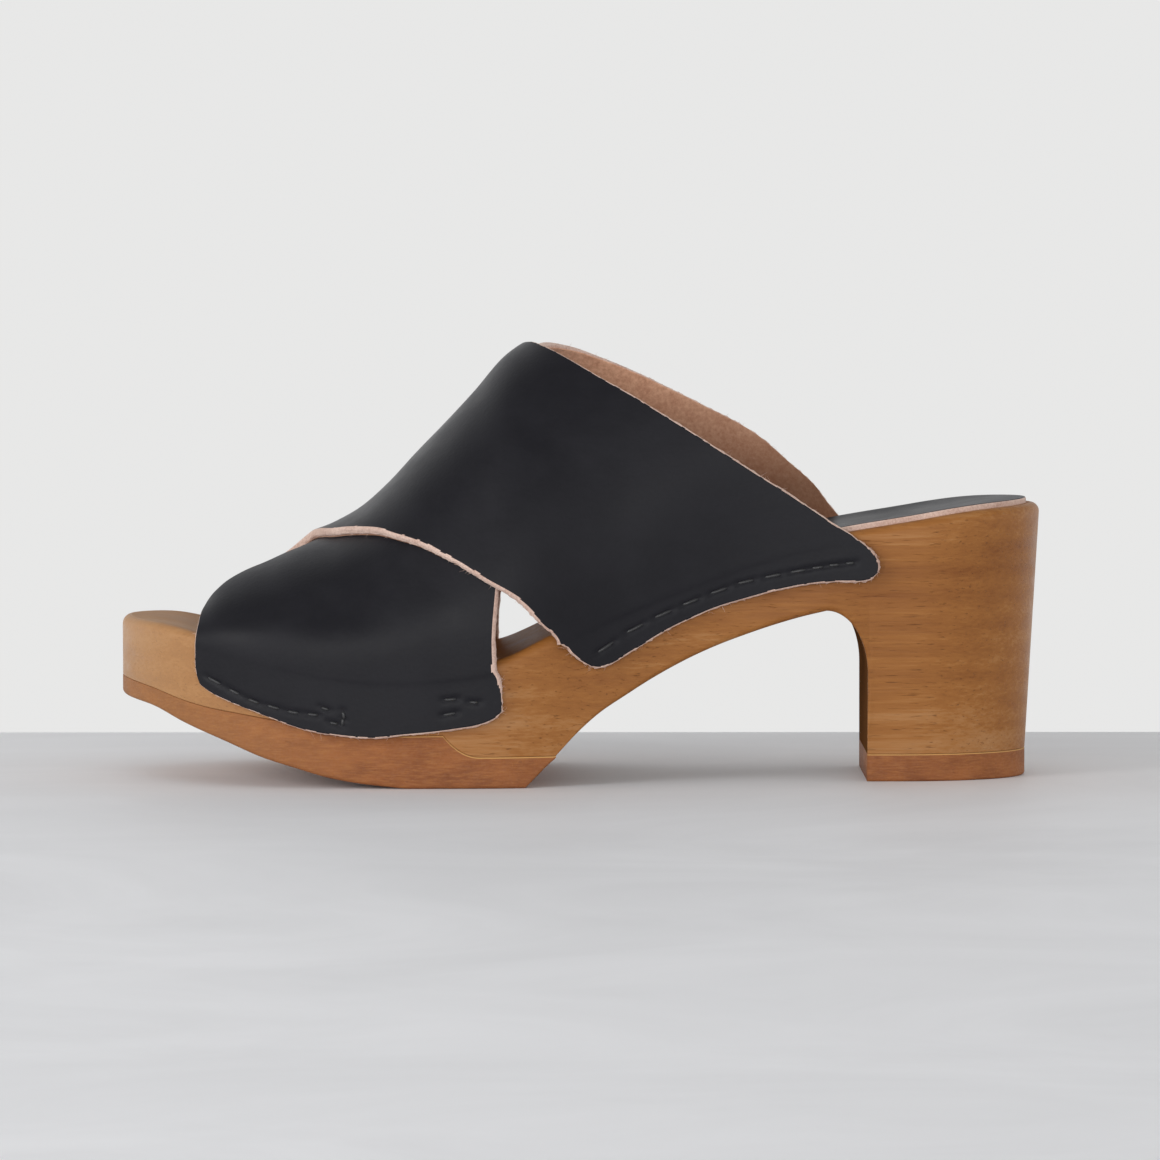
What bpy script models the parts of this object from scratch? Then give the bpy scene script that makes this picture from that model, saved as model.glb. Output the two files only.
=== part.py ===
"""Clog mule, left shoe: a carved wooden sole with a block heel, rubber under the forefoot and the heel,
a leather pad on the heel seat, and two wide leather straps that cross over the instep.

Metres, +Z up. The toe points to -X and the inner side of the foot lies to +Y. The origin is on the floor,
under the middle of the heel. In the tables, "along" is a share of LENGTH, counted from the toe tip.
"""

import bmesh
import bpy
import numpy as np

# Plan of the sole
LENGTH = 0.2455
BALL_WIDTH = 0.0885
SEAT_WIDTH = 0.0600
TOE_APEX_OFFSET = 0.0090
LATERAL_TOE_ROUNDING = 0.0620
MEDIAL_TOE_ROUNDING = 0.0440
MEDIAL_TOE_FULLNESS = 2.2
TOE_SWING_START = 0.25
TOE_SWING_LENGTH = 0.35

# Heights of the footbed, at its edge
TOE_TOP = 0.0425
BALL_TOP = 0.0305
SEAT_TOP = 0.0730
FOOTBED_DISH = 0.0016
DISH_RUN_IN = 0.0400
TOP_EDGE_RADIUS = 0.0024

# Rubber under the forefoot
TOE_LIFT = 0.0214
LIP_THICKNESS = 0.0140
WAIST_THICKNESS = 0.0083
LIP_END = 0.0867
LIP_STEP_LENGTH = 0.0100
LIP_STEP_CURVE = 2.2
OUTSOLE_LENGTH = 0.1163
OUTSOLE_RAMP = 0.0078
RUBBER_EDGE_RADIUS = 0.0016
OUTSOLE_END = 0.0005

# Arch and heel
ARCH_TOP = 0.0456
BREAST_PLACE = 0.1987
BREAST_FILLET = 0.0110
HEEL_FOOT_LENGTH = 0.0432
HEEL_FOOT_WIDTH = 0.0490
HEEL_TIP_THICKNESS = 0.0073
BREAST_FILLET_DROP = 0.0170
BREAST_TOP_LEAD = 0.0030
HEEL_ROUNDING = 0.0340
HEEL_TAPER = 0.0004
ARCH_EDGE_RADIUS = 0.0016

# Leather
LEATHER = 0.0024
STRAP_BITE = 0.0005
PAD_THICKNESS = 0.0017
PAD_MARGIN = 0.0035
PAD_LENGTH = 0.0800
PAD_FRONT_BOW = 0.0100
PAD_FRONT_FULLNESS = 2.4
PAD_EDGE_RADIUS = 0.0006

# Foot over the footbed
CROWN_OFFSET = 0.0040
INSTEP_HEIGHT = 0.1095
FOOT_ROUNDNESS = 2.3
STRAP_DROP = 0.0200
STRAP_SETTLE = 0.0220
END_SHARE = 0.09

# Between pieces that touch
GAP = 0.0003
STRAP_CLEARANCE = 0.0004

HEEL_CENTRE = BREAST_PLACE + HEEL_FOOT_LENGTH / 2

UP = np.array([0.0, 0.0, 1.0])

# Fineness of the meshes
PROBE = 0.0002
TOE_STATION_REACH = 0.0300
TOE_STATIONS = 10
BALL_STATIONS = 8
STEP_SHARES = np.array([0.04, 0.15, 0.35, 0.6, 1.0])
RAMP_STATIONS = 3
ARCH_STATIONS = 12
FILLET_STATIONS = 8
BREAST_STATIONS = 5
HEEL_STATIONS = 14
PAD_FRONT_STATIONS = 9
ACROSS = np.linspace(0, 1, 9)
EDGE_TURNS = (0, 1 / 3, 2 / 3)
SMOOTH_BELOW = np.radians(40)
STRAP_WIDTH_SHARES = np.linspace(0, 1, 15)
OVER_FOOT_SHARES = np.linspace(END_SHARE, 1 - END_SHARE, 37)
STRAP_LENGTH_SHARES = np.concatenate([(0, END_SHARE / 2), OVER_FOOT_SHARES, (1 - END_SHARE / 2, 1)])
EVEN_SPACING = 0.6

# along, lateral and medial half width as shares of BALL_WIDTH, share of SEAT_WIDTH added to both
PLAN = np.array([
    (0.000, 0.508, 0.486, 0.00),
    (0.173, 0.508, 0.486, 0.00),
    (0.263, 0.512, 0.486, 0.00),
    (0.342, 0.514, 0.472, 0.00),
    (0.422, 0.480, 0.415, 0.03),
    (0.501, 0.350, 0.285, 0.14),
    (0.581, 0.210, 0.155, 0.275),
    (0.670, 0.090, 0.065, 0.39),
    (0.760, 0.010, 0.004, 0.485),
    (0.829, 0.000, 0.000, 0.500),
    (1.000, 0.000, 0.000, 0.500),
])

# along, share of the rise from ball to toe, share of the rise from ball to seat
FOOTBED = np.array([
    (0.000, 1.00, 0.00),
    (0.055, 0.91, 0.00),
    (0.088, 0.76, 0.00),
    (0.156, 0.42, 0.00),
    (0.238, 0.10, 0.00),
    (0.300, 0.00, 0.00),
    (0.360, 0.00, 0.020),
    (0.418, 0.00, 0.085),
    (0.477, 0.00, 0.240),
    (0.544, 0.00, 0.410),
    (0.625, 0.00, 0.590),
    (0.707, 0.00, 0.745),
    (0.783, 0.00, 0.840),
    (0.845, 0.00, 0.900),
    (0.923, 0.00, 0.970),
    (1.000, 0.00, 1.000),
])

# along, height of the rubber's underside as a share of TOE_LIFT
TREAD = np.array([
    (0.000, 1.00),
    (0.039, 0.92),
    (0.071, 0.76),
    (0.121, 0.54),
    (0.156, 0.38),
    (0.197, 0.24),
    (0.226, 0.145),
    (0.259, 0.072),
    (0.292, 0.026),
    (0.319, 0.00),
    (1.000, 0.00),
])

# along, height of the side of the rubber as a share of LIP_THICKNESS
LIP = np.array([
    (0.000, 0.37),
    (0.039, 0.36),
    (0.071, 0.43),
    (0.104, 0.52),
    (0.153, 0.73),
    (0.259, 0.95),
    (0.352, 1.00),
    (1.000, 1.00),
])

# share of the way from the outsole's end to the breast fillet, share of the rise to ARCH_TOP
ARCH = np.array([
    (0.000, 0.000),
    (0.070, 0.140),
    (0.155, 0.284),
    (0.262, 0.419),
    (0.370, 0.546),
    (0.478, 0.657),
    (0.586, 0.751),
    (0.695, 0.830),
    (0.803, 0.900),
    (0.911, 0.960),
    (1.000, 1.000),
])

# along, crown of the foot as a share of the height from BALL_TOP to INSTEP_HEIGHT
CROWN = np.array([
    (0.000, 0.13),
    (0.096, 0.208),
    (0.115, 0.262),
    (0.137, 0.297),
    (0.166, 0.329),
    (0.181, 0.347),
    (0.243, 0.414),
    (0.275, 0.473),
    (0.305, 0.556),
    (0.336, 0.660),
    (0.369, 0.766),
    (0.400, 0.870),
    (0.432, 0.985),
    (0.455, 1.035),
    (0.523, 1.16),
    (0.625, 1.39),
    (0.829, 1.77),
    (1.000, 2.00),
])

# Edges of the top strap by girth, from its end beside the heel to its end beside the toe: along
STRAP_FRONT = np.array([
    (-1.50, 0.509),
    (-1.35, 0.497),
    (-1.20, 0.487),
    (-1.06, 0.479),
    (-0.99, 0.470),
    (-0.96, 0.456),
    (-0.90, 0.434),
    (-0.79, 0.390),
    (-0.74, 0.373),
    (-0.67, 0.350),
    (-0.61, 0.334),
    (-0.54, 0.317),
    (-0.36, 0.281),
    (-0.25, 0.258),
    (-0.15, 0.237),
    (0.00, 0.216),
    (0.10, 0.197),
    (0.16, 0.170),
    (0.23, 0.137),
    (0.36, 0.112),
    (0.52, 0.100),
    (0.78, 0.094),
    (1.00, 0.092),
    (1.20, 0.092),
    (1.50, 0.098),
    (1.75, 0.114),
])

# The rear edge: along on the top strap, along on the under strap, whose girths are mirrored
STRAP_REAR = np.array([
    (-1.50, 0.8185, 0.8185),
    (-1.40, 0.8205, 0.8205),
    (-1.30, 0.8190, 0.8190),
    (-1.20, 0.8148, 0.8148),
    (-1.12, 0.8092, 0.8092),
    (-1.06, 0.8042, 0.8042),
    (-1.02, 0.8004, 0.8004),
    (-1.00, 0.7980, 0.7980),
    (-0.99, 0.7860, 0.7900),
    (-0.98, 0.7745, 0.7832),
    (-0.96, 0.7558, 0.7718),
    (-0.94, 0.7395, 0.7625),
    (-0.92, 0.7246, 0.7510),
    (-0.89, 0.7031, 0.7330),
    (-0.83, 0.6670, 0.7020),
    (-0.71, 0.610, 0.638),
    (-0.63, 0.580, 0.603),
    (-0.55, 0.554, 0.574),
    (-0.46, 0.527, 0.546),
    (-0.37, 0.5035, 0.5215),
    (-0.28, 0.4835, 0.5005),
    (-0.20, 0.470, 0.484),
    (-0.10, 0.459, 0.470),
    (0.00, 0.450, 0.462),
    (0.15, 0.443, 0.458),
    (0.40, 0.435, 0.442),
    (0.65, 0.426, 0.426),
    (0.85, 0.413, 0.413),
    (0.94, 0.409, 0.409),
    (1.10, 0.414, 0.414),
    (1.34, 0.4155, 0.4155),
    (1.55, 0.416, 0.416),
])

# Lower ends of a strap, by the share of its width from front to rear: girth beside the heel, beside the toe
STRAP_ENDS = np.array([
    (0.00, -1.500, 1.500),
    (0.02, -1.549, 1.552),
    (0.05, -1.588, 1.590),
    (0.08, -1.588, 1.614),
    (0.12, -1.562, 1.637),
    (0.18, -1.520, 1.672),
    (0.26, -1.462, 1.722),
    (0.35, -1.424, 1.753),
    (0.45, -1.403, 1.753),
    (0.55, -1.425, 1.740),
    (0.66, -1.440, 1.695),
    (0.76, -1.458, 1.678),
    (0.85, -1.495, 1.672),
    (0.91, -1.538, 1.668),
    (0.95, -1.556, 1.648),
    (0.98, -1.541, 1.612),
    (1.00, -1.480, 1.550),
])


def smooth(table, column, at):
    """Cubic through one column of a table, with the slope at each row taken from its neighbours."""
    x, y = table[:, 0], table[:, column]
    slope = np.gradient(y, x)
    step = np.diff(y) / np.diff(x)
    slope[0], slope[-1] = step[0], step[-1]
    level = np.zeros(len(x), bool)
    level[:-1] |= step == 0
    level[1:] |= step == 0
    slope[level] = 0
    at = np.clip(at, x[0], x[-1])
    i = np.clip(np.searchsorted(x, at, side="right") - 1, 0, len(x) - 2)
    width = x[i + 1] - x[i]
    t = (at - x[i]) / width
    return (
        y[i] * (1 + 2 * t) * (1 - t) ** 2
        + y[i + 1] * t**2 * (3 - 2 * t)
        + width * (slope[i] * t * (1 - t) ** 2 - slope[i + 1] * t**2 * (1 - t))
    )


def ease(t):
    """0 to 1 with level ends."""
    t = np.clip(t, 0, 1)
    return t * t * (3 - 2 * t)


def round_end(distance, reach, power=2.0):
    """Width share of a superellipse end, from 0 at the tip to 1 at its reach."""
    t = np.clip(distance / reach, 0, 1)
    return (1 - (1 - t) ** power) ** (1 / power)


def sole_sides(back):
    """y of the lateral and the medial edge of the footbed, at a distance behind the toe tip."""
    along = back / LENGTH
    centre = TOE_APEX_OFFSET * (1 - ease((along - TOE_SWING_START) / TOE_SWING_LENGTH))
    seat = smooth(PLAN, 3, along) * SEAT_WIDTH
    lateral = smooth(PLAN, 1, along) * BALL_WIDTH + seat
    medial = smooth(PLAN, 2, along) * BALL_WIDTH + seat
    heel = round_end(LENGTH - back, HEEL_ROUNDING)
    low = centre - (lateral + centre) * round_end(back, LATERAL_TOE_ROUNDING) * heel
    high = centre + (medial - centre) * round_end(back, MEDIAL_TOE_ROUNDING, MEDIAL_TOE_FULLNESS) * heel
    return low, high


def footbed_height(back):
    along = back / LENGTH
    toe = smooth(FOOTBED, 1, along) * (TOE_TOP - BALL_TOP)
    seat = smooth(FOOTBED, 2, along) * (SEAT_TOP - BALL_TOP)
    return BALL_TOP + toe + seat


def tread_height(back):
    """Underside of the rubber: lifted at the toe, level under the ball, ramped up at its rear end."""
    ramp = (back - (OUTSOLE_LENGTH - OUTSOLE_RAMP)) / OUTSOLE_RAMP
    rise = np.clip(ramp, 0, 1) * (WAIST_THICKNESS - OUTSOLE_END)
    return smooth(TREAD, 1, back / LENGTH) * TOE_LIFT + rise


def joint_height(back):
    """Where wood and rubber meet on the side: a tall lip round the toe and ball, stepping down behind it."""
    along = back / LENGTH
    lip = smooth(TREAD, 1, along) * TOE_LIFT + smooth(LIP, 1, along) * LIP_THICKNESS
    t = np.clip((back - LIP_END) / LIP_STEP_LENGTH, 0, 1)
    step = WAIST_THICKNESS + (lip - WAIST_THICKNESS) * (1 - t) ** LIP_STEP_CURVE
    return np.where(back < LIP_END, lip, step)


def foot_surface(back, girth):
    """Inner face of the leather. girth runs from -1 at the lateral edge of the footbed over the crown, at 0,
    to +1 at the medial edge, as a superellipse, and beyond 1 straight down the side of the wood."""
    low, high = sole_sides(back)
    base = footbed_height(back) - TOP_EDGE_RADIUS
    crown = BALL_TOP + smooth(CROWN, 1, back / LENGTH) * (INSTEP_HEIGHT - BALL_TOP)
    angle = (1 - np.clip(np.abs(girth), 0, 1)) * np.pi / 2
    side = np.where(girth < 0, low - STRAP_CLEARANCE, high + STRAP_CLEARANCE)
    y = CROWN_OFFSET + (side - CROWN_OFFSET) * np.cos(angle) ** (2 / FOOT_ROUNDNESS)
    z = base + (crown - base) * np.sin(angle) ** (2 / FOOT_ROUNDNESS)
    z = z - STRAP_DROP * np.clip(np.abs(girth) - 1, 0, None)
    return np.stack([back - HEEL_CENTRE, y, z], axis=-1)


def foot_normal(back, girth):
    """Unit normal of the foot surface, outward, from small steps along and across it."""
    behind = foot_surface(back + PROBE, girth) - foot_surface(back - PROBE, girth)
    beside = foot_surface(back, girth + PROBE) - foot_surface(back, girth - PROBE)
    normal = np.cross(behind, beside)
    return normal / np.linalg.norm(normal, axis=-1, keepdims=True)


def strap_grid(front_to_rear, end_to_end, mirrored):
    """Distance behind the toe tip and girth over a grid of shares. The under strap mirrors the top one."""
    across, over = np.meshgrid(front_to_rear, end_to_end, indexing="ij")
    start = smooth(STRAP_ENDS, 1, across)
    finish = smooth(STRAP_ENDS, 2, across)
    arch = np.clip((over - END_SHARE) / (1 - 2 * END_SHARE), 0, 1) * 2 - 1
    girth = EVEN_SPACING * arch + (1 - EVEN_SPACING) * np.sin(arch * np.pi / 2)
    girth = girth + np.clip(1 - over / END_SHARE, 0, 1) * (start + 1)
    girth = girth + np.clip((over - 1) / END_SHARE + 1, 0, 1) * (finish - 1)
    front = smooth(STRAP_FRONT, 1, girth) * LENGTH
    rear = smooth(STRAP_REAR, 2 if mirrored else 1, girth) * LENGTH
    return front + across * (rear - front), -girth if mirrored else girth


def top_strap_lift(back, girth):
    """Height of the top strap over the foot: one thickness where it lies on the under strap, settling to
    nothing in front of that strap's front edge and behind its rear edge."""
    front = smooth(STRAP_FRONT, 1, -girth) * LENGTH
    rear = smooth(STRAP_REAR, 2, -girth) * LENGTH
    settled = (1 - ease((back - rear) / STRAP_SETTLE)) * (1 - ease((front - back) / STRAP_SETTLE))
    return (LEATHER - STRAP_BITE) * settled


def new_object(name, points, faces, material):
    mesh = bpy.data.meshes.new(name)
    mesh.from_pydata(points, [], faces)
    mesh.validate()
    body = bmesh.new()
    body.from_mesh(mesh)
    bmesh.ops.recalc_face_normals(body, faces=body.faces)
    body.to_mesh(mesh)
    body.free()
    mesh.shade_smooth()
    mesh.set_sharp_from_angle(angle=SMOOTH_BELOW)
    mesh.materials.append(material)
    piece = bpy.data.objects.new(name, mesh)
    bpy.context.scene.collection.objects.link(piece)
    return piece


def loft(name, rings, material):
    """Closed skin over a row of rings. Points that coincide become one, which closes a flat end ring."""
    points, index = np.unique(np.round(rings.reshape(-1, 3), 7), axis=0, return_inverse=True)
    index = index.reshape(rings.shape[:2])
    after = np.roll(index, -1, axis=1)
    quads = np.stack([index[:-1], after[:-1], after[1:], index[1:]], axis=-1).reshape(-1, 4)
    corners = [list(dict.fromkeys(quad)) for quad in quads.tolist()]
    faces = [face for face in corners if len(face) > 2]
    for end in (index[0], index[-1]):
        ring = list(dict.fromkeys(end.tolist()))
        if np.ptp(points[ring, 1]) > GAP:
            faces.append(ring)
    return new_object(name, points.tolist(), faces, material)


def shell(name, inner, outer, material):
    """Closed wall between an inner and an outer grid of the same size."""
    rows, columns = inner.shape[:2]
    index = np.arange(rows * columns).reshape(rows, columns)
    far = index + rows * columns

    def cells(grid):
        corners = [grid[:-1, :-1], grid[1:, :-1], grid[1:, 1:], grid[:-1, 1:]]
        return np.stack(corners, axis=-1).reshape(-1, 4)

    rim = np.concatenate([index[0, :-1], index[:-1, -1], index[-1, :0:-1], index[:0:-1, 0]])
    rim_far = rim + rows * columns
    wall = np.stack([rim, np.roll(rim, -1), np.roll(rim_far, -1), rim_far], axis=-1)
    faces = np.concatenate([cells(index)[:, ::-1], cells(far), wall])
    points = np.concatenate([inner.reshape(-1, 3), outer.reshape(-1, 3)])
    return new_object(name, points.tolist(), faces.tolist(), material)


def plan_inward(lateral, medial):
    """Unit normals in plan, inward, of both edges of an outline. Where the edges meet they point along X."""
    normals = []
    for edge, turn in ((lateral, 1), (medial, -1)):
        heading = np.gradient(edge[:, :2], axis=0)
        inward = turn * np.stack([-heading[:, 1], heading[:, 0]], axis=-1)
        inward /= np.linalg.norm(inward, axis=-1, keepdims=True)
        for end, along_x in ((0, 1), (-1, -1)):
            if np.allclose(lateral[end], medial[end]):
                inward[end] = (along_x, 0)
        normals.append(inward)
    return normals


def rounding(edge, inward, rise, radius, turn):
    """Points of a rounded edge: turn is 0 on the side and 1 on the face that rise points away from."""
    angle = turn * np.pi / 2
    radius = np.broadcast_to(radius, len(edge))[:, None]
    moved = edge + radius * (1 - np.sin(angle)) * rise
    moved[:, :2] += radius * (1 - np.cos(angle)) * inward
    return moved


def slab_rings(upper, lower, upper_radius, lower_radius, rise, dish=0.0):
    """Rings of a slab between an upper and a lower outline, each a (lateral, medial) pair of edges. rise
    holds the direction into the slab from its lower face, and dish the depth of its upper face."""
    upper_inward = plan_inward(*upper)
    lower_inward = plan_inward(*lower)

    def top(side, turn):
        return rounding(upper[side], upper_inward[side], -UP, upper_radius, turn)

    def bottom(side, turn):
        return rounding(lower[side], lower_inward[side], rise, lower_radius, turn)

    columns = [bottom(1, 1) + (bottom(0, 1) - bottom(1, 1)) * t for t in ACROSS]
    columns += [bottom(0, turn) for turn in EDGE_TURNS[::-1]]
    columns += [top(0, turn) for turn in EDGE_TURNS]
    for t in ACROSS:
        column = top(0, 1) + (top(1, 1) - top(0, 1)) * t
        column[:, 2] -= dish * 4 * t * (1 - t)
        columns.append(column)
    columns += [top(1, turn) for turn in EDGE_TURNS[::-1]]
    columns += [bottom(1, turn) for turn in EDGE_TURNS]
    return np.stack(columns, axis=1)


def inward_of_path(back, height):
    """Unit vectors in XZ, to the left of a path that runs from the toe to the heel: up, into the sole."""
    across = np.stack([-np.gradient(height), np.zeros(len(back)), np.gradient(back)], axis=-1)
    return across / np.linalg.norm(across, axis=-1, keepdims=True)


def edges(back, sides, height):
    """Lateral and medial edge points from a distance behind the toe tip, two y values and a height."""
    x = back - HEEL_CENTRE
    return [np.stack([x, side, np.broadcast_to(height, x.shape)], axis=-1) for side in sides]


def toe_stations():
    """Distances behind the toe tip down to the end of the outsole's lip, close together at the round tip."""
    tip = TOE_STATION_REACH * np.linspace(0, 1, TOE_STATIONS) ** 2
    return np.concatenate([tip, np.linspace(TOE_STATION_REACH, LIP_END, BALL_STATIONS)[1:]])


def waist_stations():
    """Distances behind the toe tip over the step of the lip and the ramp at the outsole's end."""
    step = LIP_END + LIP_STEP_LENGTH * STEP_SHARES
    ramp = np.linspace(OUTSOLE_LENGTH - OUTSOLE_RAMP, OUTSOLE_LENGTH, RAMP_STATIONS)
    return np.concatenate([step, ramp])


def heel_foot_sides(share, lowering):
    """Edges of the heel block's foot, by the share of its length, drawn in further towards the floor."""
    half = HEEL_FOOT_WIDTH / 2 - HEEL_TAPER * lowering
    width = half * round_end((1 - share) * HEEL_FOOT_LENGTH, HEEL_ROUNDING)
    return -width, width


def heel_shares():
    return np.sin(np.linspace(0, 1, HEEL_STATIONS) * np.pi / 2)


def dish_depth(back):
    return FOOTBED_DISH * ease(back / DISH_RUN_IN) * ease((LENGTH - back) / DISH_RUN_IN)


def wooden_sole(material):
    """The underside follows the rubber, rises through the arch, turns down a fillet and the breast, and ends
    at the heel's foot. The upper edge runs along with it, from the toe tip to the back of the seat."""
    forefoot = np.concatenate([toe_stations(), waist_stations()])
    arch_end = BREAST_PLACE - BREAST_FILLET
    arch_share = np.linspace(0, 1, ARCH_STATIONS)[1:]
    arch = OUTSOLE_LENGTH + arch_share * (arch_end - OUTSOLE_LENGTH)
    waist_height = WAIST_THICKNESS + GAP
    turn = np.linspace(0, np.pi / 2, FILLET_STATIONS)[1:]
    fillet = arch_end + BREAST_FILLET * np.sin(turn)
    fillet_height = ARCH_TOP - BREAST_FILLET_DROP * (1 - np.cos(turn))
    foot_height = HEEL_TIP_THICKNESS + GAP
    breast_height = np.linspace(fillet_height[-1], foot_height, BREAST_STATIONS)[1:]
    heel = np.maximum(heel_shares(), ARCH_EDGE_RADIUS / HEEL_FOOT_LENGTH)
    seat_start = BREAST_PLACE + BREAST_TOP_LEAD

    low_back = np.concatenate([
        forefoot,
        arch,
        fillet,
        np.full(len(breast_height), BREAST_PLACE),
        BREAST_PLACE + heel * HEEL_FOOT_LENGTH,
    ])
    low_height = np.concatenate([
        joint_height(forefoot) + GAP,
        waist_height + smooth(ARCH, 1, arch_share) * (ARCH_TOP - waist_height),
        fillet_height,
        breast_height,
        np.full(len(heel), foot_height),
    ])
    top_back = np.concatenate([
        forefoot,
        arch,
        fillet,
        np.linspace(BREAST_PLACE, seat_start, len(breast_height) + 1)[1:],
        seat_start + heel * (LENGTH - seat_start),
    ])
    top_height = footbed_height(top_back)
    top_sides = sole_sides(top_back)
    upper = edges(top_back, top_sides, top_height)

    # The heel's sides draw in from the seat to its foot, the platform's sides are upright
    drawn = np.clip((low_back - arch_end) / BREAST_FILLET, 0, 1)
    depth = (top_height - low_height) / (top_height - foot_height)
    foot_share = (low_back - BREAST_PLACE) / HEEL_FOOT_LENGTH
    foot_sides = heel_foot_sides(np.clip(foot_share, 0, 1), 0)
    low_sides = [top + (foot - top) * drawn * depth for top, foot in zip(top_sides, foot_sides)]
    lower = edges(low_back, low_sides, low_height)

    rise = inward_of_path(low_back, low_height)
    rise[-len(heel) - 1] = (1, 0, 0)
    count = len(forefoot)
    radius = np.zeros(len(low_back))
    radius[count : -len(heel)] = ARCH_EDGE_RADIUS
    radius[count] = ARCH_EDGE_RADIUS / 2
    rings = slab_rings(upper, lower, TOP_EDGE_RADIUS, radius, rise, dish_depth(top_back))
    return loft("wooden_sole", rings, material)


def forefoot_outsole(material):
    back = np.concatenate([toe_stations(), waist_stations()])
    sides = sole_sides(back)
    upper = edges(back, sides, joint_height(back))
    lower = edges(back, sides, tread_height(back))
    radius = np.minimum(RUBBER_EDGE_RADIUS, (joint_height(back) - tread_height(back)) / 2)
    return loft("forefoot_outsole", slab_rings(upper, lower, 0, radius, UP), material)


def heel_tip(material):
    share = heel_shares()
    back = BREAST_PLACE + share * HEEL_FOOT_LENGTH
    upper = edges(back, heel_foot_sides(share, 0), HEEL_TIP_THICKNESS)
    lower = edges(back, heel_foot_sides(share, 1), 0.0)
    return loft("heel_tip", slab_rings(upper, lower, 0, RUBBER_EDGE_RADIUS, UP), material)


def footbed_surface(back, y):
    """Height of the dished footbed at a place inside its rounded edge."""
    low, high = sole_sides(back)
    room = np.maximum(high - low - 2 * TOP_EDGE_RADIUS, TOP_EDGE_RADIUS)
    share = np.clip((y - low - TOP_EDGE_RADIUS) / room, 0, 1)
    return footbed_height(back) - dish_depth(back) * 4 * share * (1 - share)


def heel_pad(material):
    """The seat's outline drawn in by the margin, with a bowed front end, laid on the dished wood."""
    start = LENGTH - PAD_MARGIN - PAD_LENGTH
    ahead = np.linspace(0, 1, PAD_FRONT_STATIONS) ** 2 * PAD_FRONT_BOW
    behind = PAD_FRONT_BOW + heel_shares()[1:] * (LENGTH - start - PAD_FRONT_BOW)
    back = start + np.concatenate([ahead, behind])
    outline = edges(back, sole_sides(back), 0.0)
    inward = plan_inward(*outline)
    for edge, normal in zip(outline, inward):
        edge[:, :2] += normal * PAD_MARGIN
    middle = (outline[0][:, 1] + outline[1][:, 1]) / 2
    bow = round_end(back - start, PAD_FRONT_BOW, PAD_FRONT_FULLNESS)
    for edge in outline:
        edge[:, 1] = middle + (edge[:, 1] - middle) * bow
    outline[1][0] = outline[0][0]
    outline[1][:, 0] = outline[0][:, 0]
    raised = [edge + (0, 0, PAD_THICKNESS) for edge in outline]
    rings = slab_rings(raised, outline, PAD_EDGE_RADIUS, 0, UP)
    rings[..., 2] += footbed_surface(rings[..., 0] + HEEL_CENTRE, rings[..., 1]) + GAP
    return loft("heel_pad", rings, material)


def strap(name, mirrored, material):
    back, girth = strap_grid(STRAP_WIDTH_SHARES, STRAP_LENGTH_SHARES, mirrored)
    foot = foot_surface(back, girth)
    normal = foot_normal(back, girth)
    lift = 0 if mirrored else top_strap_lift(back, girth)[..., None]
    inner = foot + normal * lift
    return shell(name, inner, inner + normal * LEATHER, material)


def upper(material):
    """The top strap, joined to the under strap where they cross."""
    top = strap("upper", False, material)
    under = strap("under_strap", True, material)
    under.hide_render = True
    under.display_type = "WIRE"
    join = top.modifiers.new("joined_straps", "BOOLEAN")
    join.operation = "UNION"
    join.solver = "EXACT"
    join.object = under
    return top


def finish(name, colour, roughness):
    material = bpy.data.materials.new(name)
    material.use_nodes = True
    shader = material.node_tree.nodes["Principled BSDF"]
    shader.inputs["Base Color"].default_value = (*colour, 1)
    shader.inputs["Roughness"].default_value = roughness
    shader.inputs["Metallic"].default_value = 0
    return material


def main():
    for thing in list(bpy.data.objects):
        bpy.data.objects.remove(thing)
    wooden_sole(finish("wood", (0.42, 0.20, 0.075), 0.45))
    forefoot_outsole(finish("outsole_rubber", (0.33, 0.125, 0.045), 0.75))
    heel_tip(finish("heel_rubber", (0.33, 0.125, 0.045), 0.75))
    heel_pad(finish("pad_leather", (0.012, 0.012, 0.014), 0.45))
    upper(finish("strap_leather", (0.012, 0.012, 0.015), 0.4))


main()
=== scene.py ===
import bmesh
import bpy
import numpy as np
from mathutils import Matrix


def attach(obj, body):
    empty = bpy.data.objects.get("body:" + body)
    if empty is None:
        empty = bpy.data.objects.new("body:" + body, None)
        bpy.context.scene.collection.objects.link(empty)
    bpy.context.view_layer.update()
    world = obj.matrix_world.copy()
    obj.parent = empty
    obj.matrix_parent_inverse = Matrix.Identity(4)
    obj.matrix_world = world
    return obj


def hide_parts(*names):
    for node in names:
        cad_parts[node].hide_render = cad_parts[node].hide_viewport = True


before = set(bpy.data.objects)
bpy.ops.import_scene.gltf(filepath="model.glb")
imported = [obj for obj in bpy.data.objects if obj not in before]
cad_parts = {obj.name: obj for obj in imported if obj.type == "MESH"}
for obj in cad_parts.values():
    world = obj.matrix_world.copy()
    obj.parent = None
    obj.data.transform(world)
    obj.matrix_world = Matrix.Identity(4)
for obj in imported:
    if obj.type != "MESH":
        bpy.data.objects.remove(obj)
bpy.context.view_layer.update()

print("frame loaded,", len(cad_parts), "nodes")

mm = 0.001
up = np.array([0.0, 0.0, 1.0])
mergeDistance = 0.002 * mm

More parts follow.
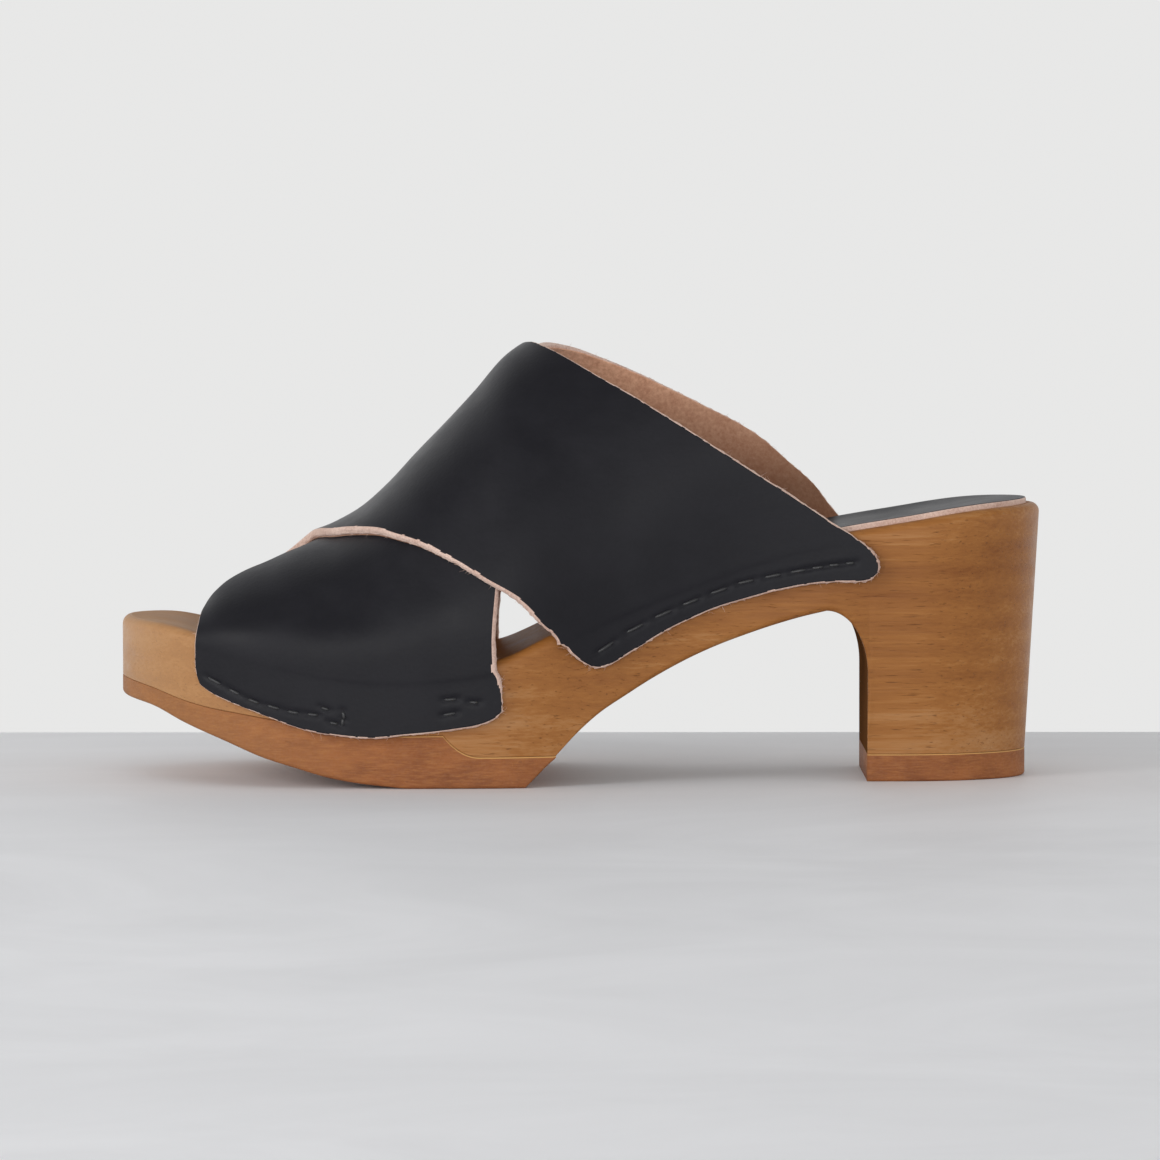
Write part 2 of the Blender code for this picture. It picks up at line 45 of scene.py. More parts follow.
# The shoe's plan and heights, the same as its solids
shoe = {
    "length": 245.5 * mm, "ballWidth": 88.5 * mm, "seatWidth": 60.0 * mm,
    "toeApex": 9.0 * mm,  # the toe tip lies this far to the inner side
    "toeSwing": (0.25, 0.35),  # where the centre line comes back, as shares of the length
    "lateralToe": (62.0 * mm, 2.0),  # reach and fullness of the toe's outline
    "medialToe": (44.0 * mm, 2.2), "toeTop": 42.5 * mm, "ballTop": 30.5 * mm,
    "seatTop": 73.0 * mm, "dish": 1.6 * mm, "dishRunIn": 40.0 * mm, "topEdge": 2.4 * mm,
    "toeLift": 21.4 * mm, "lip": 14.0 * mm, "waist": 8.3 * mm, "lipEnd": 86.7 * mm,
    "lipStep": (10.0 * mm, 2.2),  # length and curve of the step in the rubber's upper edge
    "outsoleLength": 116.3 * mm, "outsoleRamp": 7.8 * mm, "outsoleEnd": 0.5 * mm,
    "archTop": 45.6 * mm, "breast": 198.7 * mm, "breastFillet": (11.0 * mm, 17.0 * mm),
    "breastLead": 3.0 * mm, "heelLength": 43.2 * mm, "heelWidth": 49.0 * mm,
    "heelDraw": 0.4 * mm,  # each side of the heel comes in by this towards the floor
    "heelTip": 7.3 * mm, "heelRounding": 34.0 * mm,
}
shoe["heelCentre"] = shoe["breast"] + shoe["heelLength"] / 2

# along, lateral and medial half width as shares of the ball's, share of the seat's added to both
planTable = np.array([
    (0, 0.508, 0.486, 0), (0.173, 0.508, 0.486, 0), (0.263, 0.512, 0.486, 0),
    (0.342, 0.514, 0.472, 0), (0.422, 0.48, 0.415, 0.03), (0.501, 0.35, 0.285, 0.14),
    (0.581, 0.21, 0.155, 0.275), (0.67, 0.09, 0.065, 0.39), (0.76, 0.01, 0.004, 0.485),
    (0.829, 0, 0, 0.5), (1, 0, 0, 0.5),
])

# along, share of the rise from ball to toe, share of the rise from ball to seat
footbedTable = np.array([
    (0, 1, 0), (0.055, 0.91, 0), (0.088, 0.76, 0), (0.156, 0.42, 0), (0.238, 0.1, 0), (0.3, 0, 0),
    (0.36, 0, 0.02), (0.418, 0, 0.085), (0.477, 0, 0.24), (0.544, 0, 0.41), (0.625, 0, 0.59),
    (0.707, 0, 0.745), (0.783, 0, 0.84), (0.845, 0, 0.9), (0.923, 0, 0.97), (1, 0, 1),
])

# along, height of the rubber's underside as a share of the toe's lift
treadTable = np.array([
    (0, 1), (0.039, 0.92), (0.071, 0.76), (0.121, 0.54), (0.156, 0.38), (0.197, 0.24),
    (0.226, 0.145), (0.259, 0.072), (0.292, 0.026), (0.319, 0), (1, 0),
])

# along, height of the rubber's side as a share of the lip
lipTable = np.array([
    (0, 0.37), (0.039, 0.36), (0.071, 0.43), (0.104, 0.52), (0.153, 0.73), (0.259, 0.95),
    (0.352, 1), (1, 1),
])

# share of the way from the outsole's end to the heel's breast, share of the rise to the arch's top
archTable = np.array([
    (0, 0), (0.07, 0.14), (0.155, 0.284), (0.262, 0.419), (0.37, 0.546), (0.478, 0.657),
    (0.586, 0.751), (0.695, 0.83), (0.803, 0.9), (0.911, 0.96), (1, 1),
])


def smooth(table, column, at):
    # cubic through one column of a table, with each row's slope taken from its neighbours
    x, y = table[:, 0], table[:, column]
    slope = np.gradient(y, x)
    step = np.diff(y) / np.diff(x)
    slope[0], slope[-1] = step[0], step[-1]
    level = np.zeros(len(x), bool)
    level[:-1] |= step == 0
    level[1:] |= step == 0
    slope[level] = 0
    at = np.clip(at, x[0], x[-1])
    i = np.clip(np.searchsorted(x, at, side="right") - 1, 0, len(x) - 2)
    width = x[i + 1] - x[i]
    t = (at - x[i]) / width
    return (
        y[i] * (1 + 2 * t) * (1 - t) ** 2
        + y[i + 1] * t**2 * (3 - 2 * t)
        + width * (slope[i] * t * (1 - t) ** 2 - slope[i + 1] * t**2 * (1 - t))
    )


def ease(t):
    # 0 to 1 with level ends: 3t^2 - 2t^3
    t = np.clip(t, 0, 1)
    return t * t * (3 - 2 * t)


def roundEnd(distance, reach, power=2.0):
    # width share of a superellipse end: 0 at the tip, 1 at its reach
    t = np.clip(distance / reach, 0, 1)
    return (1 - (1 - t) ** power) ** (1 / power)


def waves(points, length, count, seed, variety=(0.7, 1.5)):
    # smooth noise of about -1 to 1: a sum of sine waves in random directions, their lengths varied
    rng = np.random.default_rng(seed)
    direction = rng.normal(size=(count, 3))
    scale = rng.uniform(*variety, count) / np.linalg.norm(direction, axis=1) / length
    direction *= scale[:, None]
    phase = rng.uniform(0, 2 * np.pi, count)
    return np.sin(2 * np.pi * (points @ direction.T) + phase).sum(axis=-1) / np.sqrt(count)


def soleSides(back):
    # y of the footbed's lateral and medial edge: half widths from the table, closed by round ends
    along = back / shoe["length"]
    start, reach = shoe["toeSwing"]
    centre = shoe["toeApex"] * (1 - ease((along - start) / reach))
    seat = smooth(planTable, 3, along) * shoe["seatWidth"]
    lateral = smooth(planTable, 1, along) * shoe["ballWidth"] + seat
    medial = smooth(planTable, 2, along) * shoe["ballWidth"] + seat
    heel = roundEnd(shoe["length"] - back, shoe["heelRounding"])
    low = centre - (lateral + centre) * roundEnd(back, *shoe["lateralToe"]) * heel
    high = centre + (medial - centre) * roundEnd(back, *shoe["medialToe"]) * heel
    return low, high


def footbedHeight(back):
    # the ball's height plus shares of the rise to the toe and of the rise to the seat
    along = back / shoe["length"]
    toe = smooth(footbedTable, 1, along) * (shoe["toeTop"] - shoe["ballTop"])
    seat = smooth(footbedTable, 2, along) * (shoe["seatTop"] - shoe["ballTop"])
    return shoe["ballTop"] + toe + seat


def treadHeight(back):
    # underside of the rubber: lifted toe, level ball, ramp at the rear end
    ramp = (back - (shoe["outsoleLength"] - shoe["outsoleRamp"])) / shoe["outsoleRamp"]
    rise = np.clip(ramp, 0, 1) * (shoe["waist"] - shoe["outsoleEnd"])
    return smooth(treadTable, 1, back / shoe["length"]) * shoe["toeLift"] + rise


def jointHeight(back):
    # line where wood and rubber meet: tread height plus the lip, stepping down behind the ball
    along = back / shoe["length"]
    lip = smooth(treadTable, 1, along) * shoe["toeLift"] + smooth(lipTable, 1, along) * shoe["lip"]
    length, curve = shoe["lipStep"]
    t = np.clip((back - shoe["lipEnd"]) / length, 0, 1)
    step = shoe["waist"] + (lip - shoe["waist"]) * (1 - t) ** curve
    return np.where(back < shoe["lipEnd"], lip, step)


def dishDepth(back):
    # full depth in the middle, eased in from both ends
    rear = ease((shoe["length"] - back) / shoe["dishRunIn"])
    return shoe["dish"] * ease(back / shoe["dishRunIn"]) * rear


def footbedSurface(back, y):
    # footbed height less the dish, a parabola between the rounded edges
    low, high = soleSides(back)
    room = np.maximum(high - low - 2 * shoe["topEdge"], shoe["topEdge"])
    share = np.clip((y - low - shoe["topEdge"]) / room, 0, 1)
    return footbedHeight(back) - dishDepth(back) * 4 * share * (1 - share)


# Meshes and shader nodes

def newPiece(name, points, faces, materials, slots=None, sharp=45):
    # merges doubles, turns the faces outwards and shades them smooth
    mesh = bpy.data.meshes.new(name)
    mesh.from_pydata(points.tolist(), [], faces)
    for material in materials:
        mesh.materials.append(material)
    if slots is not None:
        mesh.polygons.foreach_set("material_index", slots)
    body = bmesh.new()
    body.from_mesh(mesh)
    bmesh.ops.remove_doubles(body, verts=body.verts, dist=mergeDistance)
    bmesh.ops.recalc_face_normals(body, faces=body.faces)
    body.to_mesh(mesh)
    body.free()
    mesh.shade_smooth()
    mesh.set_sharp_from_angle(angle=np.radians(sharp))
    piece = bpy.data.objects.new(name, mesh)
    bpy.context.scene.collection.objects.link(piece)
    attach(piece, "root")
    print(name, len(mesh.polygons), "faces")
    return piece


def ringFaces(rows, columns):
    # quads between neighbouring rings of a closed skin
    index = np.arange(rows * columns).reshape(rows, columns)
    after = np.roll(index, -1, axis=1)
    corners = [index[:-1], after[:-1], after[1:], index[1:]]
    return np.stack(corners, axis=-1).reshape(-1, 4), index


def gridFaces(index):
    # quads between neighbouring points of an open grid
    corners = [index[:-1, :-1], index[1:, :-1], index[1:, 1:], index[:-1, 1:]]
    return np.stack(corners, axis=-1).reshape(-1, 4)


def feed(tree, socket, value):
    # links a socket to another one or sets its plain value; a colour gets full alpha
    if isinstance(value, bpy.types.NodeSocket):
        tree.links.new(value, socket)
    elif socket.type == "RGBA":
        socket.default_value = (*value, 1)
    else:
        socket.default_value = value


def addNode(tree, kind, inputs=None, **settings):
    # a new node with its settings made and its inputs fed
    made = tree.nodes.new(kind)
    for key, value in settings.items():
        setattr(made, key, value)
    for key, value in (inputs or {}).items():
        feed(tree, made.inputs[key], value)
    return made


def newMaterial(name, **values):
    # returns the material, its nodes and its shader, whose own sockets take the plain values
    material = bpy.data.materials.new(name)
    material.use_nodes = True
    tree = material.node_tree
    shader = tree.nodes["Principled BSDF"]
    for key, value in values.items():
        feed(tree, shader.inputs[key.replace("_", " ")], value)
    return material, tree, shader


def stretched(tree, stretch, turn=(0, 0, 0)):
    # object coordinates scaled along each axis
    place = addNode(tree, "ShaderNodeTexCoord").outputs["Object"]
    inputs = {"Vector": place, "Scale": stretch, "Rotation": turn}
    return addNode(tree, "ShaderNodeMapping", inputs).outputs[0]


def noise(tree, repeats, detail, rough, distortion=0.0):
    # cloudy pattern of 0 to 1, with its repeats to the metre along each axis
    return addNode(tree, "ShaderNodeTexNoise", {
        "Vector": stretched(tree, repeats), "Scale": 1.0,
        "Detail": detail, "Roughness": rough, "Distortion": distortion,
    }).outputs["Fac"]


def spread(tree, value, low, high, to=(0.0, 1.0)):
    # maps low..high to the range in "to", held at both ends
    return addNode(tree, "ShaderNodeMapRange", {
        "Value": value, "From Min": low, "From Max": high, "To Min": to[0], "To Max": to[1],
    }).outputs["Result"]


def combine(tree, kind, first, second):
    # one step of arithmetic on two values
    return addNode(tree, "ShaderNodeMath", {0: first, 1: second}, operation=kind).outputs[0]


def weighted(tree, values, weights):
    # sum of the values, each times its weight
    total, *rest = [combine(tree, "MULTIPLY", *pair) for pair in zip(values, weights)]
    for part in rest:
        total = combine(tree, "ADD", total, part)
    return total


def blend(tree, share, first, second):
    # from the first colour to the second by a share of 0 to 1
    inputs = {0: share, 6: first, 7: second}
    return addNode(tree, "ShaderNodeMix", inputs, data_type="RGBA").outputs[2]


def tinted(tree, colour, other, axis, start, end, share):
    # turns a colour to a share of another one, from start to end along one axis
    place = addNode(tree, "ShaderNodeSeparateXYZ", {"Vector": stretched(tree, (1, 1, 1))})
    return blend(tree, spread(tree, place.outputs[axis], start, end, (0.0, share)), colour, other)


def layered(tree, finish, colour, *steps):
    # turns a colour to another one, step by step: a value, the names of its tones and its colour
    for value, tones, other in steps:
        colour = blend(tree, spread(tree, value, *finish[tones]), colour, finish[other])
    return colour


def dress(tree, shader, finish, height, **inputs):
    # connects what is given to the shader, and the relief of the height
    for key, value in inputs.items():
        feed(tree, shader.inputs[key.replace("_", " ")], value)
    relief = {"Height": height, "Distance": finish["depth"], "Strength": finish["strength"]}
    feed(tree, shader.inputs["Normal"], addNode(tree, "ShaderNodeBump", relief).outputs[0])


# Finishes. A pattern is its repeats to the metre along X, Y and Z, its detail and its roughness.
# Tones are the low and high value between which a colour changes, and the range they map to.

woodFinish = {
    "light": (0.490, 0.288, 0.140), "middle": (0.335, 0.134, 0.031),
    "dark": (0.205, 0.068, 0.014), "pore": (0.100, 0.032, 0.009),
    "layers": ((2.2, 14, 46), (0, 0.06, 0.04)),  # repeats and turn of the yearly layers
    "layerForm": {"Scale": 1.0, "Distortion": 5.0, "Detail": 3.0, "Detail Scale": 0.6},
    "drift": ((5, 16, 24), 4.0, 0.55), "streaks": ((14, 190, 260), 4.0, 0.6),
    "fibres": ((45, 900, 1300), 5.0, 0.65), "pores": ((160, 2300, 2600), 2.0, 0.5),
    "weights": (0.05, 0.70, 0.20, 0.36),  # of layers, drift, streaks and fibres in the tone
    "middleTones": (0.41, 0.67), "lightTones": (0.63, 0.93, (0.0, 0.8)),
    "poreTones": (0.63, 0.74), "poreShare": 0.60,
    "paintedLightToe": (-0.140, -0.210, 0.50),  # along X from and to, share of the light colour: painted light, paler towards the toe
    "gloss": (0.3, 0.7, (0.42, 0.56)), "coatRoughness": 0.30, "depth": 0.16 * mm,
    "strength": 0.6,
}


def woodMaterial(name, specular, coat):
    # layers wander through the wood lengthwise; fibres and pores are noise drawn out along X
    finish = woodFinish
    material, tree, shader = newMaterial(
        name, Specular_IOR_Level=specular, Coat_Weight=coat, Coat_Roughness=finish["coatRoughness"],
    )
    form = {"Vector": stretched(tree, *finish["layers"]), **finish["layerForm"]}
    layers = addNode(
        tree, "ShaderNodeTexWave", form, wave_type="BANDS", bands_direction="Z", wave_profile="SIN",
    ).outputs["Fac"]
    drift, streaks, fibres, pores = (
        noise(tree, *finish[pattern]) for pattern in ("drift", "streaks", "fibres", "pores")
    )
    pores = spread(tree, pores, *finish["poreTones"])
    tone = weighted(tree, (layers, drift, streaks, fibres), finish["weights"])
    steps = (tone, "middleTones", "middle"), (tone, "lightTones", "light")
    colour = layered(tree, finish, finish["dark"], *steps)
    share = combine(tree, "MULTIPLY", pores, finish["poreShare"])
    colour = blend(tree, share, colour, finish["pore"])
    # painted light: the wood turns paler towards the toe, where the light falls
    colour = tinted(tree, colour, finish["light"], 0, *finish["paintedLightToe"])
    rough, grain = spread(tree, streaks, *finish["gloss"]), combine(tree, "SUBTRACT", fibres, pores)
    dress(tree, shader, finish, grain, Base_Color=colour, Roughness=rough)
    return material


rubberFinish = {
    "light": (0.415, 0.170, 0.047), "middle": (0.312, 0.104, 0.026),
    # the rim colour is a painted highlight for the rubber's rounded upper edge
    "dark": (0.196, 0.058, 0.014), "rim": (0.560, 0.300, 0.105), "toe": (0.370, 0.178, 0.060),
    "cloud": ((70, 90, 160), 4.0, 0.6), "crumb": ((1500, 1500, 1500), 3.0, 0.6),
    "sanded": ((260, 700, 2400), 3.0, 0.6), "specks": ((420, 420, 700), 1.0, 0.4),
    "middleTones": (0.32, 0.66), "lightTones": (0.45, 0.80, (0.0, 0.6)),
    # the toe colour is painted light: the rubber turns paler towards the toe
    "speckTones": (0.70, 0.76, (0.0, 0.55)), "paintedLightToe": (-0.150, -0.205, 0.40),
    "gloss": (0.3, 0.7, (0.62, 0.85)), "depth": 0.25 * mm, "strength": 0.5,
}


def rubberMaterial():
    # cloudy tan rubber, sanded along its side, with dark specks
    finish = rubberFinish
    material, tree, shader = newMaterial("tanRubber")
    cloud, crumb, sanded, specks = (
        noise(tree, *finish[pattern]) for pattern in ("cloud", "crumb", "sanded", "specks")
    )
    colour = layered(
        tree, finish, finish["dark"], (cloud, "middleTones", "middle"),
        (sanded, "lightTones", "light"), (specks, "speckTones", "dark"),
    )
    # painted light: paler towards the toe
    colour = tinted(tree, colour, finish["toe"], 0, *finish["paintedLightToe"])
    rough, height = spread(tree, crumb, *finish["gloss"]), combine(tree, "ADD", crumb, sanded)
    dress(tree, shader, finish, height, Base_Color=colour, Roughness=rough)
    return material


skinFinish = {
    "colour": (0.0096, 0.0094, 0.0124), "wearAndShade": (0.0136, 0.0133, 0.0170), "specular": 0.16,
    "sheen": (0.02, 0.45, (0.62, 0.68, 0.85)),  # weight, roughness and tint
    "cells": 950,  # furrowed cells to the metre
    "fine": ((2600, 2600, 2600), 3.0, 0.6), "cloud": ((55, 55, 75), 4.0, 0.6),
    "wornTones": (0.42, 0.75), "cloudGloss": (0.3, 0.7, (0.40, 0.52)),
    "fineGloss": (0.3, 0.7, (-0.03, 0.03)), "fineWeight": 0.35, "depth": 0.07 * mm,
    "strength": 0.35,
}


def skinMaterial(name, grain=1.0):
    # smooth full grain: small cells with soft furrows, and slow changes of gloss
    finish = skinFinish
    weight, roughness, tint = finish["sheen"]
    material, tree, shader = newMaterial(
        name, Specular_IOR_Level=finish["specular"],
        Sheen_Weight=weight, Sheen_Roughness=roughness, Sheen_Tint=tint,
    )
    size = finish["cells"] * grain
    inputs = {"Vector": stretched(tree, (1, 1, 1)), "Scale": size, "Randomness": 0.9}
    cells = addNode(tree, "ShaderNodeTexVoronoi", inputs, feature="SMOOTH_F1").outputs["Distance"]
    fine, cloud = noise(tree, *finish["fine"]), noise(tree, *finish["cloud"])
    colour = layered(tree, finish, finish["colour"], (cloud, "wornTones", "wearAndShade"))
    gloss = [spread(tree, cloud, *finish["cloudGloss"]), spread(tree, fine, *finish["fineGloss"])]
    height = combine(tree, "ADD", cells, combine(tree, "MULTIPLY", fine, finish["fineWeight"]))
    rough = combine(tree, "ADD", *gloss)
    dress(tree, shader, finish, height, Base_Color=colour, Roughness=rough)
    return material


rawFinish = {
    # light and dark colour, fineness and depth of the nap
    "cutEdge": ((0.720, 0.540, 0.460), (0.440, 0.265, 0.205), 1700, 0.25 * mm),
    "fleshSide": ((0.820, 0.480, 0.315), (0.520, 0.240, 0.140), 900, 0.20 * mm),
    # painted shade: the flesh side turns to this darker colour lower down
    "wearAndShade": (0.150, 0.060, 0.028),
    "shadeHeights": (108 * mm, 76 * mm, 0.8),  # from and to, share of the painted shade colour
    "roughness": 0.92, "specular": 0.15, "sheen": (0.35, 0.6, (1.0, 0.86, 0.78)),
    "nap": (4.0, 0.65), "strength": 0.7, "cloud": ((80, 80, 80), 3.0, 0.6),
    "weights": (0.6, 0.4),  # of nap and cloud in the tone
    "tones": (0.34, 0.62),
}


def rawMaterial(name, isShaded):
    # undyed fibres: mottled colour, a nap that catches light, no gloss; painted shade makes the
    # flesh side darker towards the footbed
    finish = rawFinish
    light, dark, fine, depth = finish[name]
    weight, roughness, tint = finish["sheen"]
    material, tree, shader = newMaterial(
        name, Roughness=finish["roughness"], Specular_IOR_Level=finish["specular"],
        Sheen_Weight=weight, Sheen_Roughness=roughness, Sheen_Tint=tint,
    )
    nap, cloud = noise(tree, (fine, fine, fine), *finish["nap"]), noise(tree, *finish["cloud"])
    tone = spread(tree, weighted(tree, (nap, cloud), finish["weights"]), *finish["tones"])
    colour = blend(tree, tone, dark, light)
    # painted shade, darker towards the bottom
    if isShaded:
        colour = tinted(tree, colour, finish["wearAndShade"], 2, *finish["shadeHeights"])
    dress(tree, shader, {**finish, "depth": depth}, nap, Base_Color=colour)
    return material


threadFinish = {
    "colour": (0.026, 0.026, 0.028), "twist": ((3000, 3000, 3000), 2.0, 0.55),
    "depth": 0.1 * mm, "strength": 0.5,
}


def threadMaterial():
    # black waxed thread with a fine twist
    finish = threadFinish
    material, tree, shader = newMaterial("waxedThread", Roughness=0.34, Specular_IOR_Level=0.5)
    dress(tree, shader, finish, noise(tree, *finish["twist"]), Base_Color=finish["colour"])
    return material


# painted shade: a flat dark brown wood without gloss, for the underside of the arch and the breast
paintedShadeFinish = {"Base_Color": (0.130, 0.055, 0.020), "Roughness": 0.9, "Specular_IOR_Level": 0.0}
# painted highlight: a paler rubber for the rounded upper edges
paintedHighlightFinish = {"Base_Color": rubberFinish["rim"], "Roughness": 0.7, "Specular_IOR_Level": 0.3}

wood = woodMaterial("satinWood", specular=0.24, coat=0.03)
footbedWood = woodMaterial("footbedWood", specular=0.05, coat=0.0)
paintedShadeWood = newMaterial("paintedShadeWood", **paintedShadeFinish)[0]
rubber = rubberMaterial()
paintedHighlightRubber = newMaterial("paintedHighlightRubber", **paintedHighlightFinish)[0]
strapSkin = skinMaterial("blackLeather")
padSkin = skinMaterial("padLeather", grain=1.2)
cutEdge = rawMaterial("cutEdge", isShaded=False)
fleshSide = rawMaterial("fleshSide", isShaded=True)
thread = threadMaterial()
print("materials made")


# Slabs: sole, rubber, heel tip and pad

fineness = {"across": 27, "turn": 7, "side": 9}  # points over a face, round an edge and up a side


def planInward(lateral, medial):
    # unit normals in plan of both edges of an outline, turned inwards
    normals = []
    for edge, turn in ((lateral, 1), (medial, -1)):
        heading = np.gradient(edge[:, :2], axis=0)
        inward = turn * np.stack([-heading[:, 1], heading[:, 0]], axis=-1)
        inward /= np.linalg.norm(inward, axis=-1, keepdims=True)
        for end, alongX in ((0, 1), (-1, -1)):
            if np.allclose(lateral[end], medial[end]):
                inward[end] = (alongX, 0)
        normals.append(inward)
    return normals


def roundedEdge(edge, inward, rise, radius, turn):
    # a quarter circle: turn 0 lies on the side, turn 1 on the face
    angle = turn * np.pi / 2
    radius = np.broadcast_to(radius, len(edge))[:, None]
    moved = edge + radius * (1 - np.sin(angle)) * rise
    moved[:, :2] += radius * (1 - np.cos(angle)) * inward
    return moved


def slabRings(upper, lower, upperRadius, lowerRadius, rise, dish=0.0):
    # rings round a slab: underside, lateral side, dished top, medial side, rounded edges between
    inward = planInward(*upper)
    across = np.linspace(0, 1, fineness["across"])
    turns = np.linspace(0, 1, fineness["turn"])[:-1]
    sideShares = np.linspace(0, 1, fineness["side"])[1:-1]

    def top(side, turn):
        return roundedEdge(upper[side], inward[side], -up, upperRadius, turn)

    def bottom(side, turn):
        return roundedEdge(lower[side], inward[side], rise, lowerRadius, turn)

    columns = [bottom(1, 1) + (bottom(0, 1) - bottom(1, 1)) * t for t in across]
    columns += [bottom(0, turn) for turn in turns[::-1]]
    columns += [bottom(0, 0) + (top(0, 0) - bottom(0, 0)) * t for t in sideShares]
    columns += [top(0, turn) for turn in turns]
    columns += [
        top(0, 1) + (top(1, 1) - top(0, 1)) * t - up * np.reshape(dish * 4 * t * (1 - t), (-1, 1))
        for t in across
    ]
    columns += [top(1, turn) for turn in turns[::-1]]
    columns += [top(1, 0) + (bottom(1, 0) - top(1, 0)) * t for t in sideShares]
    columns += [bottom(1, turn) for turn in turns]
    return np.stack(columns, axis=1)


def edgePoints(back, sides, height):
    # both edges of an outline as points at the given heights
    x = back - shoe["heelCentre"]
    height = np.broadcast_to(height, x.shape)
    return [np.stack([x, side, height], axis=-1) for side in sides]


stations = {"tipReach": 30 * mm, "tip": 40, "ball": 50, "step": 16, "level": 8, "ramp": 10}


def forefootStations():
    # distances behind the toe tip, closer round the tip's curve and where the lip's step begins
    tip = stations["tipReach"] * np.linspace(0, 1, stations["tip"]) ** 2
    ball = np.linspace(stations["tipReach"], shoe["lipEnd"], stations["ball"])[1:]
    shares = np.linspace(0, 1, stations["step"])[1:] ** 1.5
    step = shoe["lipEnd"] + shoe["lipStep"][0] * shares
    rampStart = shoe["outsoleLength"] - shoe["outsoleRamp"]
    level = np.linspace(step[-1], rampStart, stations["level"])[1:]
    ramp = np.linspace(rampStart, shoe["outsoleLength"], stations["ramp"])[1:]
    return np.concatenate([tip, ball, step, level, ramp])


def slabSpans():
    # columns of faces round a slab: its underside, its top and the rounded edges beside the top
    across, turn, side = fineness["across"], fineness["turn"] - 1, fineness["side"] - 2
    top = across + turn + side + turn
    medial = top + across - 1
    return {
        "under": [(0, across - 1)],
        "top": [(top, medial)],
        "topEdges": [(top - turn, top), (medial, medial + turn)],
    }


def slabPiece(name, rings, materials, painted, capped=False):
    # painted lists first row, row behind the last, span of columns and number of the material
    faces, index = ringFaces(*rings.shape[:2])
    slots = np.zeros((rings.shape[0] - 1, rings.shape[1]), int)
    for start, end, span, slot in painted:
        for first, last in slabSpans()[span]:
            slots[start:end, first:last] = slot
    faces, slots = faces.tolist(), slots.reshape(-1).tolist()
    if capped:
        faces.append(index[-1].tolist())
        slots.append(0)
    return newPiece(name, rings.reshape(-1, 3), faces, materials, slots)


woodenSole = {
    "name": "woodenSole", "archEdge": 1.6 * mm,
    "archEdgeReach": (6 * mm, 20 * mm),  # behind the rubber and above the heel's foot
    "breastSharpness": 0.75,  # this share of the rounding goes in the breast
    "jointGap": 0.06 * mm, "jointEdge": 0.20 * mm,
    "arch": 60,  # points along the arch, the fillet and the breast
    "fillet": 30, "breast": 20,
}


def heelFootSides(share, lowering):
    # the block's foot: half width closed by a round rear end, drawn in towards the floor
    half = shoe["heelWidth"] / 2 - shoe["heelDraw"] * lowering
    width = half * roundEnd((1 - share) * shoe["heelLength"], shoe["heelRounding"])
    return -width, width


def heelShares(count=48):
    # shares of the heel's length, closer towards its rear: the sine of a quarter turn
    return np.sin(np.linspace(0, 1, count) * np.pi / 2)


